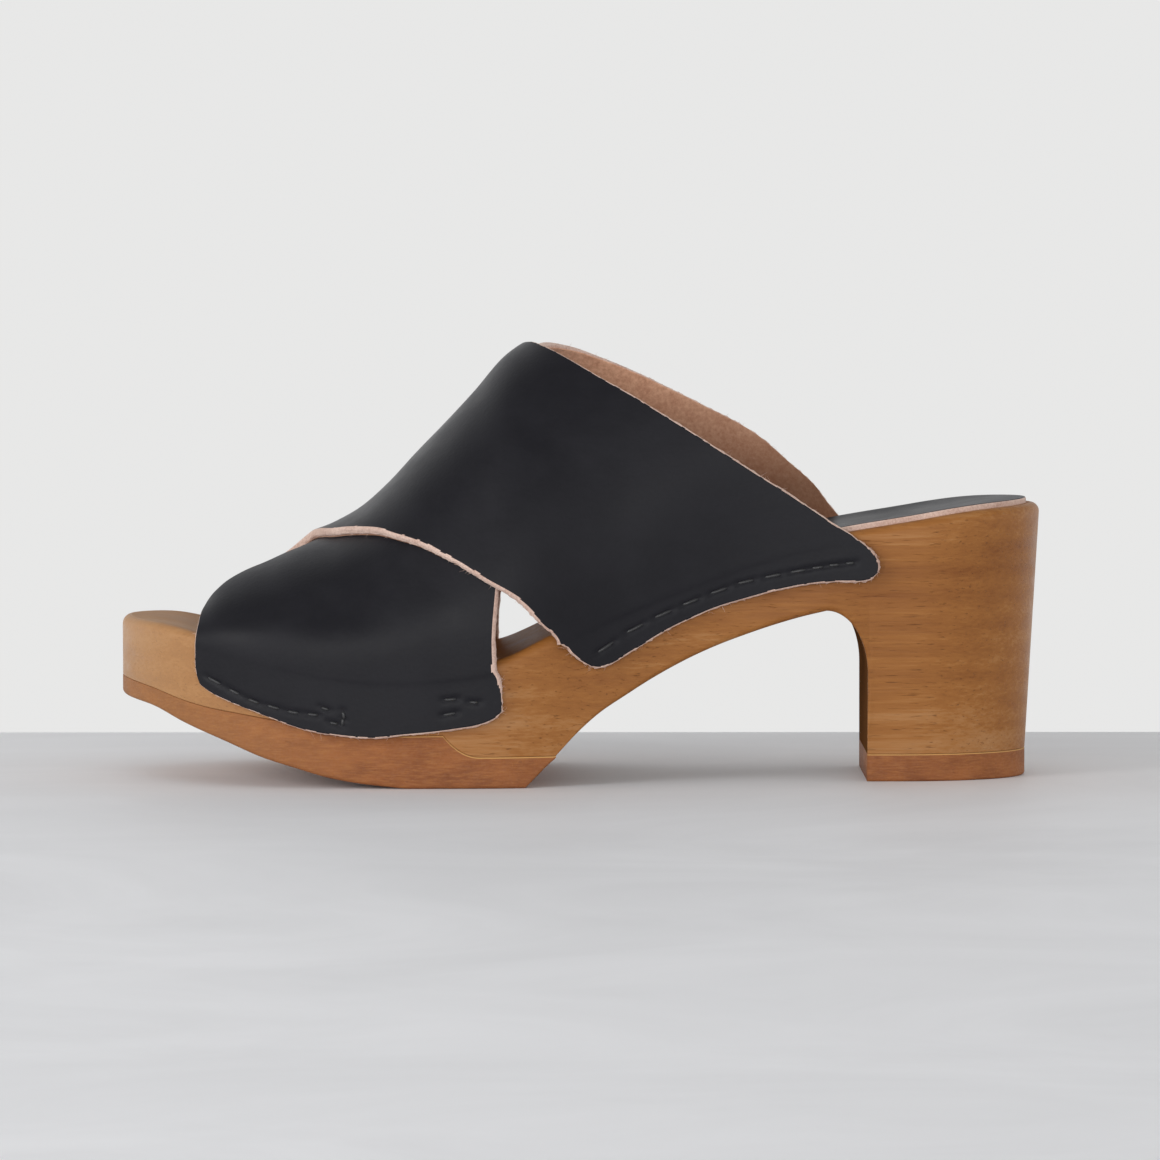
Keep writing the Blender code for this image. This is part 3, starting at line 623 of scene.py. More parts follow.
def makeWoodenSole():
    # the underside follows the rubber, rises through the arch, turns down the breast and ends at
    # the heel's foot; the top is the footbed, and each ring joins a row of both
    forefoot = forefootStations()
    fillet, drop = shoe["breastFillet"]
    archEnd = shoe["breast"] - fillet
    archShare = np.linspace(0, 1, woodenSole["arch"])[1:]
    arch = shoe["outsoleLength"] + archShare * (archEnd - shoe["outsoleLength"])
    waist = shoe["waist"] + woodenSole["jointGap"]
    turn = np.linspace(0, np.pi / 2, woodenSole["fillet"])[1:]
    filletBack = archEnd + fillet * np.sin(turn)
    filletHeight = shoe["archTop"] - drop * (1 - np.cos(turn))
    footHeight = shoe["heelTip"] + woodenSole["jointGap"]
    breastHeight = np.linspace(filletHeight[-1], footHeight, woodenSole["breast"])[1:]
    breastBack = np.full(len(breastHeight), shoe["breast"])
    heel = np.maximum(heelShares(), woodenSole["jointEdge"] / shoe["heelLength"])
    seatStart = shoe["breast"] + shoe["breastLead"]

    lowBack = np.concatenate([
        forefoot, arch, filletBack, breastBack, shoe["breast"] + heel * shoe["heelLength"],
    ])
    lowHeight = np.concatenate([
        jointHeight(forefoot) + woodenSole["jointGap"],
        waist + smooth(archTable, 1, archShare) * (shoe["archTop"] - waist),
        filletHeight, breastHeight, np.full(len(heel), footHeight),
    ])
    topBack = np.concatenate([
        forefoot, arch, filletBack,
        np.linspace(shoe["breast"], seatStart, len(breastHeight) + 1)[1:],
        seatStart + heel * (shoe["length"] - seatStart),
    ])
    topHeight = footbedHeight(topBack)
    topSides = soleSides(topBack)
    upper = edgePoints(topBack, topSides, topHeight)
    drawn = np.clip((lowBack - archEnd) / fillet, 0, 1)
    depth = (topHeight - lowHeight) / (topHeight - footHeight)
    heelShare = np.clip((lowBack - shoe["breast"]) / shoe["heelLength"], 0, 1)
    footSides = heelFootSides(heelShare, 0)
    lowSides = [top + (foot - top) * drawn * depth for top, foot in zip(topSides, footSides)]
    lower = edgePoints(lowBack, lowSides, lowHeight)

    # square to the underside; the breast's lowest row still points straight into the block
    level = np.zeros(len(lowBack))
    rise = np.stack([-np.gradient(lowHeight), level, np.gradient(lowBack)], axis=-1)
    rise /= np.linalg.norm(rise, axis=-1, keepdims=True)
    rise[-len(heel) - 1] = (1, 0, 0)
    behind, above = woodenSole["archEdgeReach"]
    opened = ease((lowBack - shoe["outsoleLength"]) / behind)
    opened = opened * np.clip((lowHeight - footHeight) / above, 0, 1)
    opened[-len(heel) :] = 0
    growth = (woodenSole["archEdge"] - woodenSole["jointEdge"]) * opened
    radius = woodenSole["jointEdge"] + growth * (1 - woodenSole["breastSharpness"] * drawn)
    rings = slabRings(upper, lower, shoe["topEdge"], radius, rise, dishDepth(topBack))
    archStart = len(forefoot) - 1
    breastEnd = archStart + len(arch) + len(filletBack) + len(breastHeight)
    # the underside of the arch and the breast get the painted shade wood; the footbed top gets a
    # less glossy wood
    painted = [(archStart, breastEnd, "under", 1), (0, len(rings), "top", 2)]
    piece = slabPiece(woodenSole["name"], rings, [wood, paintedShadeWood, footbedWood], painted)
    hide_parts("wooden_sole")


rubberSole = {
    "name": "rubberSole", "edge": 1.2 * mm, "topEdge": 0.36 * mm,
    "highlightStart": 70 * mm,  # behind here the rubber's upper edge gets a painted highlight, a paler colour
    "grooveStart": (22 * mm, 6 * mm),  # place and run-in of the grooves
    "grooveStop": 3 * mm,  # their run-out before the ramp
    "grooveInset": (4 * mm, 3 * mm),  # plain margin at both sides, and its run-in
    "groovePitch": 4.2 * mm, "grooveDepth": 0.7 * mm,
    "grooveForm": (0.5, 0.9),  # level and swing of the wave, cut off at 0 and 1
    "grid": (20 * mm, 0.6 * mm),  # start and spacing of the extra rows for the grooves
    "closest": 0.05 * mm,  # rows nearer than this are left out
}


def makeRubberSole():
    # the lip's outline between tread and joint; the tread's grooves are a rounded wave along X
    rampStart = shoe["outsoleLength"] - shoe["outsoleRamp"]
    start, spacing = rubberSole["grid"]
    back = np.concatenate([forefootStations(), np.arange(start, rampStart, spacing)])
    back = np.unique(back)
    back = back[np.concatenate([[True], np.diff(back) > rubberSole["closest"]])]
    sides = soleSides(back)
    joint, tread = jointHeight(back), treadHeight(back)
    most = (joint - tread) / 2
    rings = slabRings(
        edgePoints(back, sides, joint), edgePoints(back, sides, tread),
        np.minimum(rubberSole["topEdge"], most), np.minimum(rubberSole["edge"], most), up,
    )
    low, high = (side[:, None] for side in sides)
    y = rings[:, : fineness["across"], 1]
    margin, runIn = rubberSole["grooveInset"]
    inset = ease((np.minimum(y - low, high - y) - margin) / runIn)
    level, swing = rubberSole["grooveForm"]
    wave = np.clip(level - swing * np.cos(2 * np.pi * back / rubberSole["groovePitch"]), 0, 1)
    first, easing = rubberSole["grooveStart"]
    within = ease((back - first) / easing) * ease((rampStart - back) / rubberSole["grooveStop"])
    cut = rubberSole["grooveDepth"] * inset * wave[:, None] * within[:, None]
    rings[:, : fineness["across"], 2] += cut
    highlightRow = int(np.searchsorted(back, rubberSole["highlightStart"]))
    # painted highlight on the rounded upper edges behind the start
    painted = [(highlightRow, len(rings), "topEdges", 1)]
    piece = slabPiece(rubberSole["name"], rings, [rubber, paintedHighlightRubber], painted, capped=True)
    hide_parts("forefoot_outsole")


def closeEnd(piece):
    # fills the open first ring of a slab
    body = bmesh.new()
    body.from_mesh(piece.data)
    bmesh.ops.holes_fill(body, edges=[edge for edge in body.edges if edge.is_boundary], sides=0)
    bmesh.ops.recalc_face_normals(body, faces=body.faces)
    body.to_mesh(piece.data)
    body.free()


heelRubber = {"name": "heelRubber", "edge": 0.9 * mm, "topEdge": 0.30 * mm, "rows": 60}


def makeHeelRubber():
    # the heel's foot between the floor and the wood
    share = heelShares(heelRubber["rows"])
    back = shoe["breast"] + share * shoe["heelLength"]
    upper = edgePoints(back, heelFootSides(share, 0), shoe["heelTip"])
    lower = edgePoints(back, heelFootSides(share, 1), 0.0)
    rings = slabRings(upper, lower, heelRubber["topEdge"], heelRubber["edge"], up)
    # painted highlight on the heel rubber's rounded upper edges
    painted = [(0, len(rings), "topEdges", 1)]
    piece = slabPiece(heelRubber["name"], rings, [rubber, paintedHighlightRubber], painted)
    closeEnd(piece)
    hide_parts("heel_tip")


heelPad = {
    "name": "heelPad", "thickness": 1.7 * mm, "margin": 3.5 * mm, "length": 80 * mm,
    "frontBow": (10 * mm, 2.4),  # reach and fullness of the front end
    "frontRows": 30, "edge": 0.6 * mm, "underEdge": 0.1 * mm, "lay": 0.05 * mm,
}


def makeHeelPad():
    # the seat's outline drawn in by a margin, with a bowed front end, laid on the dished wood
    start = shoe["length"] - heelPad["margin"] - heelPad["length"]
    bow, fullness = heelPad["frontBow"]
    ahead = np.linspace(0, 1, heelPad["frontRows"]) ** 2 * bow
    behind = bow + heelShares()[1:] * (shoe["length"] - start - bow)
    back = start + np.concatenate([ahead, behind])
    outline = edgePoints(back, soleSides(back), 0.0)
    for edge, normal in zip(outline, planInward(*outline)):
        edge[:, :2] += normal * heelPad["margin"]
    middle = (outline[0][:, 1] + outline[1][:, 1]) / 2
    for edge in outline:
        edge[:, 1] = middle + (edge[:, 1] - middle) * roundEnd(back - start, bow, fullness)
    outline[1][0] = outline[0][0]
    outline[1][:, 0] = outline[0][:, 0]
    raised = [edge + up * heelPad["thickness"] for edge in outline]
    rings = slabRings(raised, outline, heelPad["edge"], heelPad["underEdge"], up)
    seat = footbedSurface(rings[..., 0] + shoe["heelCentre"], rings[..., 1])
    rings[..., 2] += seat + heelPad["lay"]
    faces, _ = ringFaces(*rings.shape[:2])
    # black over the top and half way round its edges, raw leather below
    across, turn, side = fineness["across"], fineness["turn"] - 1, fineness["side"] - 2
    topStart = across + turn + side + turn // 2
    raw = np.ones(rings.shape[1], int)
    raw[topStart : topStart + across + turn + 1] = 0
    slots = np.tile(raw, rings.shape[0] - 1)
    points = rings.reshape(-1, 3)
    piece = newPiece(heelPad["name"], points, faces.tolist(), [padSkin, cutEdge], slots)
    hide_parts("heel_pad")


makeWoodenSole()
makeRubberSole()
makeHeelRubber()
makeHeelPad()
print("sole made")


# Straps

leather = {
    "thickness": 2.4 * mm,
    "crossingGap": 0.10 * mm,  # between the straps where they cross
    "crownOffset": 4.0 * mm, "instep": 109.5 * mm, "roundness": 2.3,
    "drop": 20.0 * mm,  # length of one unit of girth down the side of the wood
    "settle": (16.0 * mm, 34.0 * mm),  # in front of the under strap, behind it
    "curl": 1.25 * mm,
    "curlReach": (20.0 * mm, 0.50, 0.90),  # its length, and the girths where it fades out
    "clearance": 0.4 * mm, "endShare": 0.09, "skinEdge": 0.60 * mm,
    "rawRim": 0.40 * mm,  # this much of the skin face at its edge shows undyed fibres
    # a wider raw rim along one edge: 0 front or -1 rear, its width, the girths where it fades out
    "wideRims": {"topStrap": (0, 1.10 * mm, 0.86, 1.02), "underStrap": (-1, 1.25 * mm, 1.10, 1.40)},
    "leastRim": 0.01 * mm, "fleshEdge": 0.35 * mm, "undercut": 0.40 * mm, "bulge": 0.10 * mm,
    "fuzz": 0.21 * mm,
    # roughness of the cut edge: share, wave length, number of waves and seed
    "fuzzWaves": [(0.6, 2.2 * mm, 24, 5), (0.4, 0.9 * mm, 24, 6)],
    "ragged": (0.07 * mm, 2.4 * mm, 16, 9),  # the same for the border of the raw rim, in depth
    "evenness": 0.6,
    "edgeSteps": np.array([0, 0.08, 0.18, 0.32, 0.50, 0.75, 1.05, 1.40, 1.80]) * mm,
    "width": 76 * mm,  # rough sizes by which the steps become shares
    "end": 11 * mm,
    "columns": 108,  # grid lines over the width, an end and the arch
    "endRows": 30, "rows": 220,
    "bands": 8,  # runs of points from the flesh side to the skin side
}

# along, crown of the foot as a share of the height from the ball's footbed to the instep
crownTable = np.array([
    (0, 0.13), (0.096, 0.208), (0.115, 0.262), (0.137, 0.297), (0.166, 0.329), (0.181, 0.347),
    (0.243, 0.414), (0.275, 0.473), (0.305, 0.556), (0.336, 0.66), (0.369, 0.766), (0.4, 0.87),
    (0.432, 0.985), (0.455, 1.035), (0.523, 1.16), (0.625, 1.39), (0.829, 1.77), (1, 2),
])

# front edge of the top strap by girth, from its end beside the heel to its end beside the toe: along
frontTable = np.array([
    (-1.5, 0.509), (-1.35, 0.497), (-1.2, 0.487), (-1.06, 0.479), (-0.99, 0.47), (-0.96, 0.456),
    (-0.9, 0.434), (-0.79, 0.39), (-0.74, 0.373), (-0.67, 0.35), (-0.61, 0.334), (-0.54, 0.317),
    (-0.36, 0.281), (-0.25, 0.258), (-0.15, 0.237), (0, 0.216), (0.1, 0.197), (0.16, 0.17),
    (0.23, 0.137), (0.36, 0.112), (0.52, 0.1), (0.78, 0.094), (1, 0.092), (1.2, 0.092),
    (1.5, 0.098), (1.75, 0.114),
])

# rear edge by girth: along on the top strap, along on the under strap, whose girths are mirrored
rearTable = np.array([
    (-1.5, 0.8185, 0.8185), (-1.4, 0.8205, 0.8205), (-1.3, 0.819, 0.819), (-1.2, 0.8148, 0.8148),
    (-1.12, 0.8092, 0.8092), (-1.06, 0.8042, 0.8042), (-1.02, 0.8004, 0.8004), (-1, 0.798, 0.798),
    (-0.99, 0.786, 0.79), (-0.98, 0.7745, 0.7832), (-0.96, 0.7558, 0.7718), (-0.94, 0.7395, 0.7625),
    (-0.92, 0.7246, 0.751), (-0.89, 0.7031, 0.733), (-0.83, 0.667, 0.702), (-0.71, 0.61, 0.638),
    (-0.63, 0.58, 0.603), (-0.55, 0.554, 0.574), (-0.46, 0.527, 0.546), (-0.37, 0.5035, 0.5215),
    (-0.28, 0.4835, 0.5005), (-0.2, 0.47, 0.484), (-0.1, 0.459, 0.47), (0, 0.45, 0.462),
    (0.15, 0.443, 0.458), (0.4, 0.435, 0.442), (0.65, 0.426, 0.426), (0.85, 0.413, 0.413),
    (0.94, 0.409, 0.409), (1.1, 0.414, 0.414), (1.34, 0.4155, 0.4155), (1.55, 0.416, 0.416),
])

# lower ends of a strap by the share of its width from the front: girth by the heel, by the toe
endTable = np.array([
    (0, -1.5, 1.5), (0.02, -1.549, 1.552), (0.05, -1.588, 1.59), (0.08, -1.588, 1.614),
    (0.12, -1.562, 1.637), (0.18, -1.52, 1.672), (0.26, -1.462, 1.722), (0.35, -1.424, 1.753),
    (0.45, -1.403, 1.753), (0.55, -1.425, 1.74), (0.66, -1.44, 1.695), (0.76, -1.458, 1.678),
    (0.85, -1.495, 1.672), (0.91, -1.538, 1.668), (0.95, -1.556, 1.648), (0.98, -1.541, 1.612),
    (1, -1.48, 1.55),
])

# soft ridges: along, girth, height in mm, reach along, reach over, slant of girth per along
formTable = np.array([
    (0.62, -0.82, 1.1, 0.17, 0.13, 0.25), (0.29, -0.84, 0.9, 0.13, 0.11, 0),
    (0.62, 0.82, 1, 0.17, 0.13, -0.25), (0.27, 0.84, 0.8, 0.13, 0.11, 0),
])


def softForms(back, girth):
    # sum of drawn-out hills, height * exp(-a^2 - b^2), with b measured across a slanted line
    along = back / shoe["length"]
    total = np.zeros(np.shape(back))
    for place, over, height, reach, width, slant in formTable:
        a = (along - place) / reach
        b = (girth - over - slant * (along - place)) / width
        total = total + height * mm * np.exp(-a * a - b * b)
    return total


def footSurface(back, girth):
    # inner face of the leather: a superellipse over the foot by girth, then straight down the wood
    low, high = soleSides(back)
    base = footbedHeight(back) - shoe["topEdge"]
    share = smooth(crownTable, 1, back / shoe["length"])
    crown = shoe["ballTop"] + share * (leather["instep"] - shoe["ballTop"])
    angle = (1 - np.clip(np.abs(girth), 0, 1)) * np.pi / 2
    side = np.where(girth < 0, low - leather["clearance"], high + leather["clearance"])
    power = 2 / leather["roundness"]
    y = leather["crownOffset"] + (side - leather["crownOffset"]) * np.cos(angle) ** power
    z = base + (crown - base) * np.sin(angle) ** power
    z = z - leather["drop"] * np.clip(np.abs(girth) - 1, 0, None)
    return np.stack([back - shoe["heelCentre"], y, z], axis=-1)


def footNormal(back, girth, probe=0.0004):
    # cross product of short steps behind and over, the probe taken in metres and in girth
    behind = footSurface(back + probe, girth) - footSurface(back - probe, girth)
    beside = footSurface(back, girth + probe) - footSurface(back, girth - probe)
    normal = np.cross(behind, beside)
    return normal / np.linalg.norm(normal, axis=-1, keepdims=True)


def strapGrid(across, over, mirrored):
    # shares of the strap's width and length to a distance behind the toe tip and a girth
    share = leather["endShare"]
    start, end = smooth(endTable, 1, across), smooth(endTable, 2, across)
    arch = np.clip((over - share) / (1 - 2 * share), 0, 1) * 2 - 1
    girth = leather["evenness"] * arch + (1 - leather["evenness"]) * np.sin(arch * np.pi / 2)
    girth = girth + np.clip(1 - over / share, 0, 1) * (start + 1)
    girth = girth + np.clip((over - 1) / share + 1, 0, 1) * (end - 1)
    front = smooth(frontTable, 1, girth) * shoe["length"]
    rear = smooth(rearTable, 2 if mirrored else 1, girth) * shoe["length"]
    return front + across * (rear - front), -girth if mirrored else girth


def topStrapLift(back, girth):
    # one thickness over the under strap, settled to nothing before and behind it, less the curl
    front = smooth(frontTable, 1, -girth) * shoe["length"]
    rear = smooth(rearTable, 2, -girth) * shoe["length"]
    ahead, behind = leather["settle"]
    settled = (1 - ease((back - rear) / behind)) * (1 - ease((front - back) / ahead))
    reach, start, end = leather["curlReach"]
    faded = 1 - ease((np.abs(girth) - start) / (end - start))
    curl = leather["curl"] * ease((front - back) / reach) * faded
    return (leather["thickness"] + leather["crossingGap"]) * settled - curl


def fleshFace(back, girth, mirrored):
    # inner face of a strap and its outward normal
    normal = footNormal(back, girth)
    lift = softForms(back, girth)
    if not mirrored:
        lift = lift + topStrapLift(back, girth)
    return footSurface(back, girth) + normal * lift[..., None], normal


# seam lines along the lower ends beside the heel and beside the toe: along, girth
heelSeam = np.array([
    (0.518, 1.345), (0.551, 1.257), (0.58, 1.219), (0.608, 1.198), (0.641, 1.186), (0.671, 1.186),
    (0.702, 1.222), (0.733, 1.246), (0.767, 1.262), (0.8, 1.29),
])
toeSeam = np.array([
    (0.106, 1.365), (0.134, 1.457), (0.155, 1.515), (0.177, 1.532), (0.194, 1.541), (0.226, 1.51),
])

stitch = {
    "radius": 0.42 * mm, "sunk": 0.10 * mm, "dent": 0.40 * mm, "dentReach": 0.85 * mm,
    "dentMiddle": 0.6,  # share of the dent under the middle of a stitch
    "bed": 0.75,  # share of the dent that the thread fills
    "proud": 0.6,  # share of the radius that stands above it
    "dive": 0.5 * mm,  # how far both ends go down
    "taper": 0.75,
    "rings": (11, 10),  # rings along a stitch, sides round it
    "heelPlaces": [0.024, 0.138, 0.246, 0.350, 0.458, 0.562, 0.666, 0.762, 0.836, 0.900, 0.960],
    "heelLengths": [4.6, 4.6, 4.6, 4.4, 4.6, 4.6, 4.6, 4.4, 3.2, 3.0, 2.6],
    "toePlaces": [0.06, 0.24, 0.41, 0.58, 0.75, 0.92],
    "toeLengths": [3.6, 3.0, 3.0, 3.4, 3.2, 3.0],
    # back tacks beside the toe: along, girth, length in mm, turn in degrees
    "tacks": [
        (0.229, 1.415, 2.2, 10), (0.248, 1.470, 2.4, 80), (0.247, 1.560, 2.2, 95),
        (0.238, 1.590, 2.2, 5), (0.361, 1.262, 3.6, 3), (0.360, 1.452, 3.6, -4),
        (0.386, 1.345, 2.4, 12),
    ],
}


def seamPoints(seam, places, probe=0.02):
    # points and headings on a seam line, by the share of its length
    scale = (shoe["length"], leather["drop"])
    steps = np.linalg.norm(np.diff(seam * scale, axis=0), axis=1)
    run = np.concatenate([[0], np.cumsum(steps)]) / steps.sum()
    places = np.asarray(places)

    def onSeam(at):
        return np.stack([np.interp(at, run, column) for column in seam.T], axis=-1)

    heading = (onSeam(places + probe) - onSeam(places - probe)) * scale
    return onSeam(places), heading / np.linalg.norm(heading, axis=-1, keepdims=True)


def stitchTable():
    # rows of along, girth, half length along X, half length down the side, 1 beside the heel
    rows = []
    seams = (
        (heelSeam, stitch["heelPlaces"], stitch["heelLengths"], 1),
        (toeSeam, stitch["toePlaces"], stitch["toeLengths"], 0),
    )
    for seam, places, lengths, heelEnd in seams:
        at, heading = seamPoints(seam, places)
        half = np.asarray(lengths)[:, None] * mm / 2
        rows.append(np.hstack([at, heading * half, np.full((len(at), 1), heelEnd)]))
    along, girth, length, turn = np.array(stitch["tacks"]).T
    turn, half = np.radians(turn), length * mm / 2
    tacks = [along, girth, half * np.cos(turn), half * np.sin(turn), np.zeros(len(along))]
    rows.append(np.stack(tacks, axis=-1))
    return np.concatenate(rows)


def stitchEnds(mirrored):
    # both ends of each stitch as distance behind the toe tip and girth; the ends beside the heel
    # lie at negative girths of a strap
    table = stitchTable()
    sign = np.where(table[:, 4] > 0.5, -1, 1) * (-1 if mirrored else 1)
    ends = []
    for way in (-1, 1):
        back = table[:, 0] * shoe["length"] + way * table[:, 2]
        girth = table[:, 1] + way * table[:, 3] / leather["drop"]
        ends.append((back, girth * sign))
    return ends


def skinPoint(back, girth, mirrored):
    # point on the skin face, one thickness outside the flesh face, and its normal
    inner, normal = fleshFace(back, girth, mirrored)
    return inner + normal * leather["thickness"], normal


def stitchDents(points, mirrored):
    # depth of the hollow that each stitch pulls: dent * exp(-(distance to the stitch / reach)^2)
    (backA, girthA), (backB, girthB) = stitchEnds(mirrored)
    start, _ = skinPoint(backA, girthA, mirrored)
    end, _ = skinPoint(backB, girthB, mirrored)
    depth, middle = np.zeros(points.shape[:-1]), stitch["dentMiddle"]
    for a, b in zip(start, end):
        span = b - a
        t = np.clip(((points - a) @ span) / (span @ span), 0, 1)
        distance = np.linalg.norm(points - a - t[..., None] * span, axis=-1)
        pull = middle + (1 - middle) * np.abs(2 * t - 1) ** 2
        near = np.exp(-((distance / stitch["dentReach"]) ** 2))
        depth = np.maximum(depth, stitch["dent"] * pull * near)
    return depth


def strapShares():
    # closer at the cut edges, and close over the ends where the stitches lie
    fine = leather["edgeSteps"] / leather["width"]
    across = np.linspace(fine[-1], 1 - fine[-1], leather["columns"])
    across = np.concatenate([fine[:-1], across, 1 - fine[:-1][::-1]])
    share = leather["endShare"]
    fine = leather["edgeSteps"] / leather["end"] * share
    end = np.concatenate([fine[:-1], np.linspace(fine[-1], share, leather["endRows"])])
    arch = np.linspace(share, 1 - share, leather["rows"])[1:-1]
    return across, np.concatenate([end, arch, 1 - end[::-1]])


def gridRun(points, axis):
    # length of the grid line from its start, and from its end
    steps = np.linalg.norm(np.diff(points, axis=axis), axis=-1)
    start = np.zeros_like(np.take(steps, [0], axis=axis))
    run = np.concatenate([start, np.cumsum(steps, axis=axis)], axis=axis)
    return run, np.take(run, [-1], axis=axis) - run


def quarter(distance, radius):
    # how far a rounded edge lies below its face: r - sqrt(r^2 - (r - d)^2)
    inside = np.clip(radius - distance, 0, radius)
    return radius - np.sqrt(radius**2 - inside**2)


def rim(index):
    # a grid's outer points in one closed run
    return np.concatenate([index[0, :-1], index[:-1, -1], index[-1, :0:-1], index[:0:-1, 0]])


def atRim(grid, loop):
    return grid.reshape(-1, 3)[loop]


def cutBands(low, high, outward):
    # runs of points from flesh edge to skin edge: straight between them, bowed out in the middle,
    # drawn in below and roughened by waves
    bands = []
    for share in np.linspace(0, 1, leather["bands"]):
        band = low + (high - low) * share
        rough = sum(part * waves(band, *wave) for part, *wave in leather["fuzzWaves"])
        bulge = leather["bulge"] * np.sin(np.pi * share) - leather["undercut"] * (1 - share) ** 3
        bands.append(band + outward * ((leather["fuzz"] * rough)[:, None] + bulge))
    return bands


def makeStrap(name, mirrored):
    # flesh face, fuzzy cut edge and skin face over one grid, each with its own material
    across, over = np.meshgrid(*strapShares(), indexing="ij")
    back, girth = strapGrid(across, over, mirrored)
    inner, normal = fleshFace(back, girth, mirrored)
    side, width, fadeStart, fadeEnd = leather["wideRims"][name]
    faded = 1 - ease((np.abs(girth) - fadeStart) / (fadeEnd - fadeStart))
    wide = width * faded + leather["leastRim"]
    acrossRuns = gridRun(inner, 0)
    distance = np.min([*acrossRuns, *gridRun(inner, 1)], axis=0)
    skin = inner + normal * leather["thickness"]
    fall = np.maximum(quarter(distance, leather["skinEdge"]), quarter(acrossRuns[side], wide))
    skin = skin - normal * (fall + stitchDents(skin, mirrored))[..., None]
    flesh = inner + normal * quarter(distance, leather["fleshEdge"])[..., None]

    # outward at the rim: from each point's neighbour inside the grid
    rows, columns = back.shape
    index = np.arange(rows * columns).reshape(rows, columns)
    loop = rim(index)
    padded = np.pad(inner[1:-1, 1:-1], ((1, 1), (1, 1), (0, 0)), mode="edge")
    outward = atRim(inner - padded, loop)
    outward /= np.linalg.norm(outward, axis=-1, keepdims=True)
    low, high = atRim(flesh, loop), atRim(skin, loop)
    first, *between, last = cutBands(low, high, outward)
    fleshPoints, skinPoints = flesh.reshape(-1, 3), skin.reshape(-1, 3)
    fleshPoints[loop], skinPoints[loop] = first, last
    points = np.concatenate([fleshPoints, skinPoints, *between])

    count = len(loop)
    lines = [2 * rows * columns + k * count + np.arange(count) for k in range(len(between))]
    lines = [loop, *lines, loop + rows * columns]
    cutFaces = np.concatenate([
        np.stack([a, np.roll(a, -1), np.roll(b, -1), b], axis=-1) for a, b in zip(lines, lines[1:])
    ])
    skinFaces, fleshFaces = gridFaces(index + rows * columns), gridFaces(index)[:, ::-1]
    faces = np.concatenate([skinFaces, cutFaces, fleshFaces])

    # the skin face is bare near its edges
    depth, *wave = leather["ragged"]
    ragged = depth * waves(skin[:-1, :-1], *wave)
    fromEdge = (distance[:-1, :-1] + distance[1:, 1:]) / 2
    fromWide = (acrossRuns[side][:-1, :-1] + acrossRuns[side][1:, 1:]) / 2
    bare = (fromEdge < leather["rawRim"] + ragged) | (fromWide < wide[:-1, :-1] + ragged)
    slots = [bare.astype(int).reshape(-1), np.ones(len(cutFaces), int), np.full(len(fleshFaces), 2)]
    materials = [strapSkin, cutEdge, fleshSide]
    piece = newPiece(name, points, faces.tolist(), materials, np.concatenate(slots), sharp=60)
    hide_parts("upper")
    return low, high, outward


def unitRing(side, other, count):
    # circle in the plane of two directions: side * cos + other * sin
    angle = np.linspace(0, 2 * np.pi, count + 1)[:-1, None]
    return side[..., None, :] * np.cos(angle) + other[..., None, :] * np.sin(angle)


def makeThreads(name, points, material):
    # one piece of many short closed tubes, whose points run by tube, by ring and round the ring
    count, rows, columns = points.shape[:3]
    faces, index = ringFaces(rows, columns)
    start = (np.arange(count) * rows * columns)[:, None, None]
    sides = (faces[None] + start).reshape(-1, 4).tolist()
    caps = (np.stack([index[0], index[-1]])[None] + start).reshape(-1, columns).tolist()
    piece = newPiece(name, points.reshape(-1, 3), sides + caps, [material])


def makeStitches(name, mirrored):
    # each stitch is a bowed thread: a ring carried along its line, sunk and thin at both ends
    (backA, girthA), (backB, girthB) = stitchEnds(mirrored)
    rows, sides = stitch["rings"]
    t = np.linspace(0, 1, rows)[None, :]
    fromMiddle = np.abs(2 * t - 1)
    back = backA[:, None] + (backB - backA)[:, None] * t
    girth = girthA[:, None] + (girthB - girthA)[:, None] * t
    centre, normal = skinPoint(back, girth, mirrored)
    sink = stitch["dent"] * stitch["bed"] + stitch["sunk"] + stitch["dive"] * fromMiddle**4
    centre = centre - normal * (sink - stitch["radius"] * stitch["proud"])[..., None]
    heading = np.gradient(centre, axis=1)
    heading /= np.linalg.norm(heading, axis=-1, keepdims=True)
    radius = stitch["radius"] * (1 - stitch["taper"] * fromMiddle**5)
    ring = unitRing(np.cross(heading, normal), normal, sides)
    makeThreads(name, centre[:, :, None] + ring * radius[..., None, None], thread)


fibres = {
    "count": 420,
    "length": (0.35, 1.15, 1.5),  # least, most, and the power that makes most of them short, in mm
    "radius": 0.055 * mm,
    "height": (0.15, 0.9),  # where they start between flesh and skin
    "scatter": 0.6, "curl": 0.5, "taper": 0.8, "rings": (5, 4),
    "aside": (0.3, 0.5, 0.8),  # any direction that no fibre follows
}


def makeFibres(name, low, high, outward, seed):
    # loose fibres on the cut edge: tapered threads along root + length * (way * t + curl * t^2)
    rng = np.random.default_rng(seed)
    count = fibres["count"]
    pick = rng.integers(0, len(low), count)
    share = rng.uniform(*fibres["height"], (count, 1))
    root = low[pick] + (high[pick] - low[pick]) * share
    least, most, power = fibres["length"]
    length = rng.uniform(least, most, (count, 1)) ** power * mm
    way = outward[pick] + fibres["scatter"] * rng.normal(size=(count, 3))
    way /= np.linalg.norm(way, axis=-1, keepdims=True)
    curl = rng.normal(size=(count, 3)) * fibres["curl"]
    rows, sides = fibres["rings"]
    t = np.linspace(0, 1, rows)[None, :, None]
    path = root[:, None] + length[:, None] * (way[:, None] * t + curl[:, None] * t * t)
    side = np.cross(way, fibres["aside"])
    side /= np.linalg.norm(side, axis=-1, keepdims=True)
    ring = unitRing(side[:, None], np.cross(way, side)[:, None], sides)
    radius = fibres["radius"] * (1 - fibres["taper"] * t)
    makeThreads(name, path[:, :, None] + ring * radius[..., None], cutEdge)


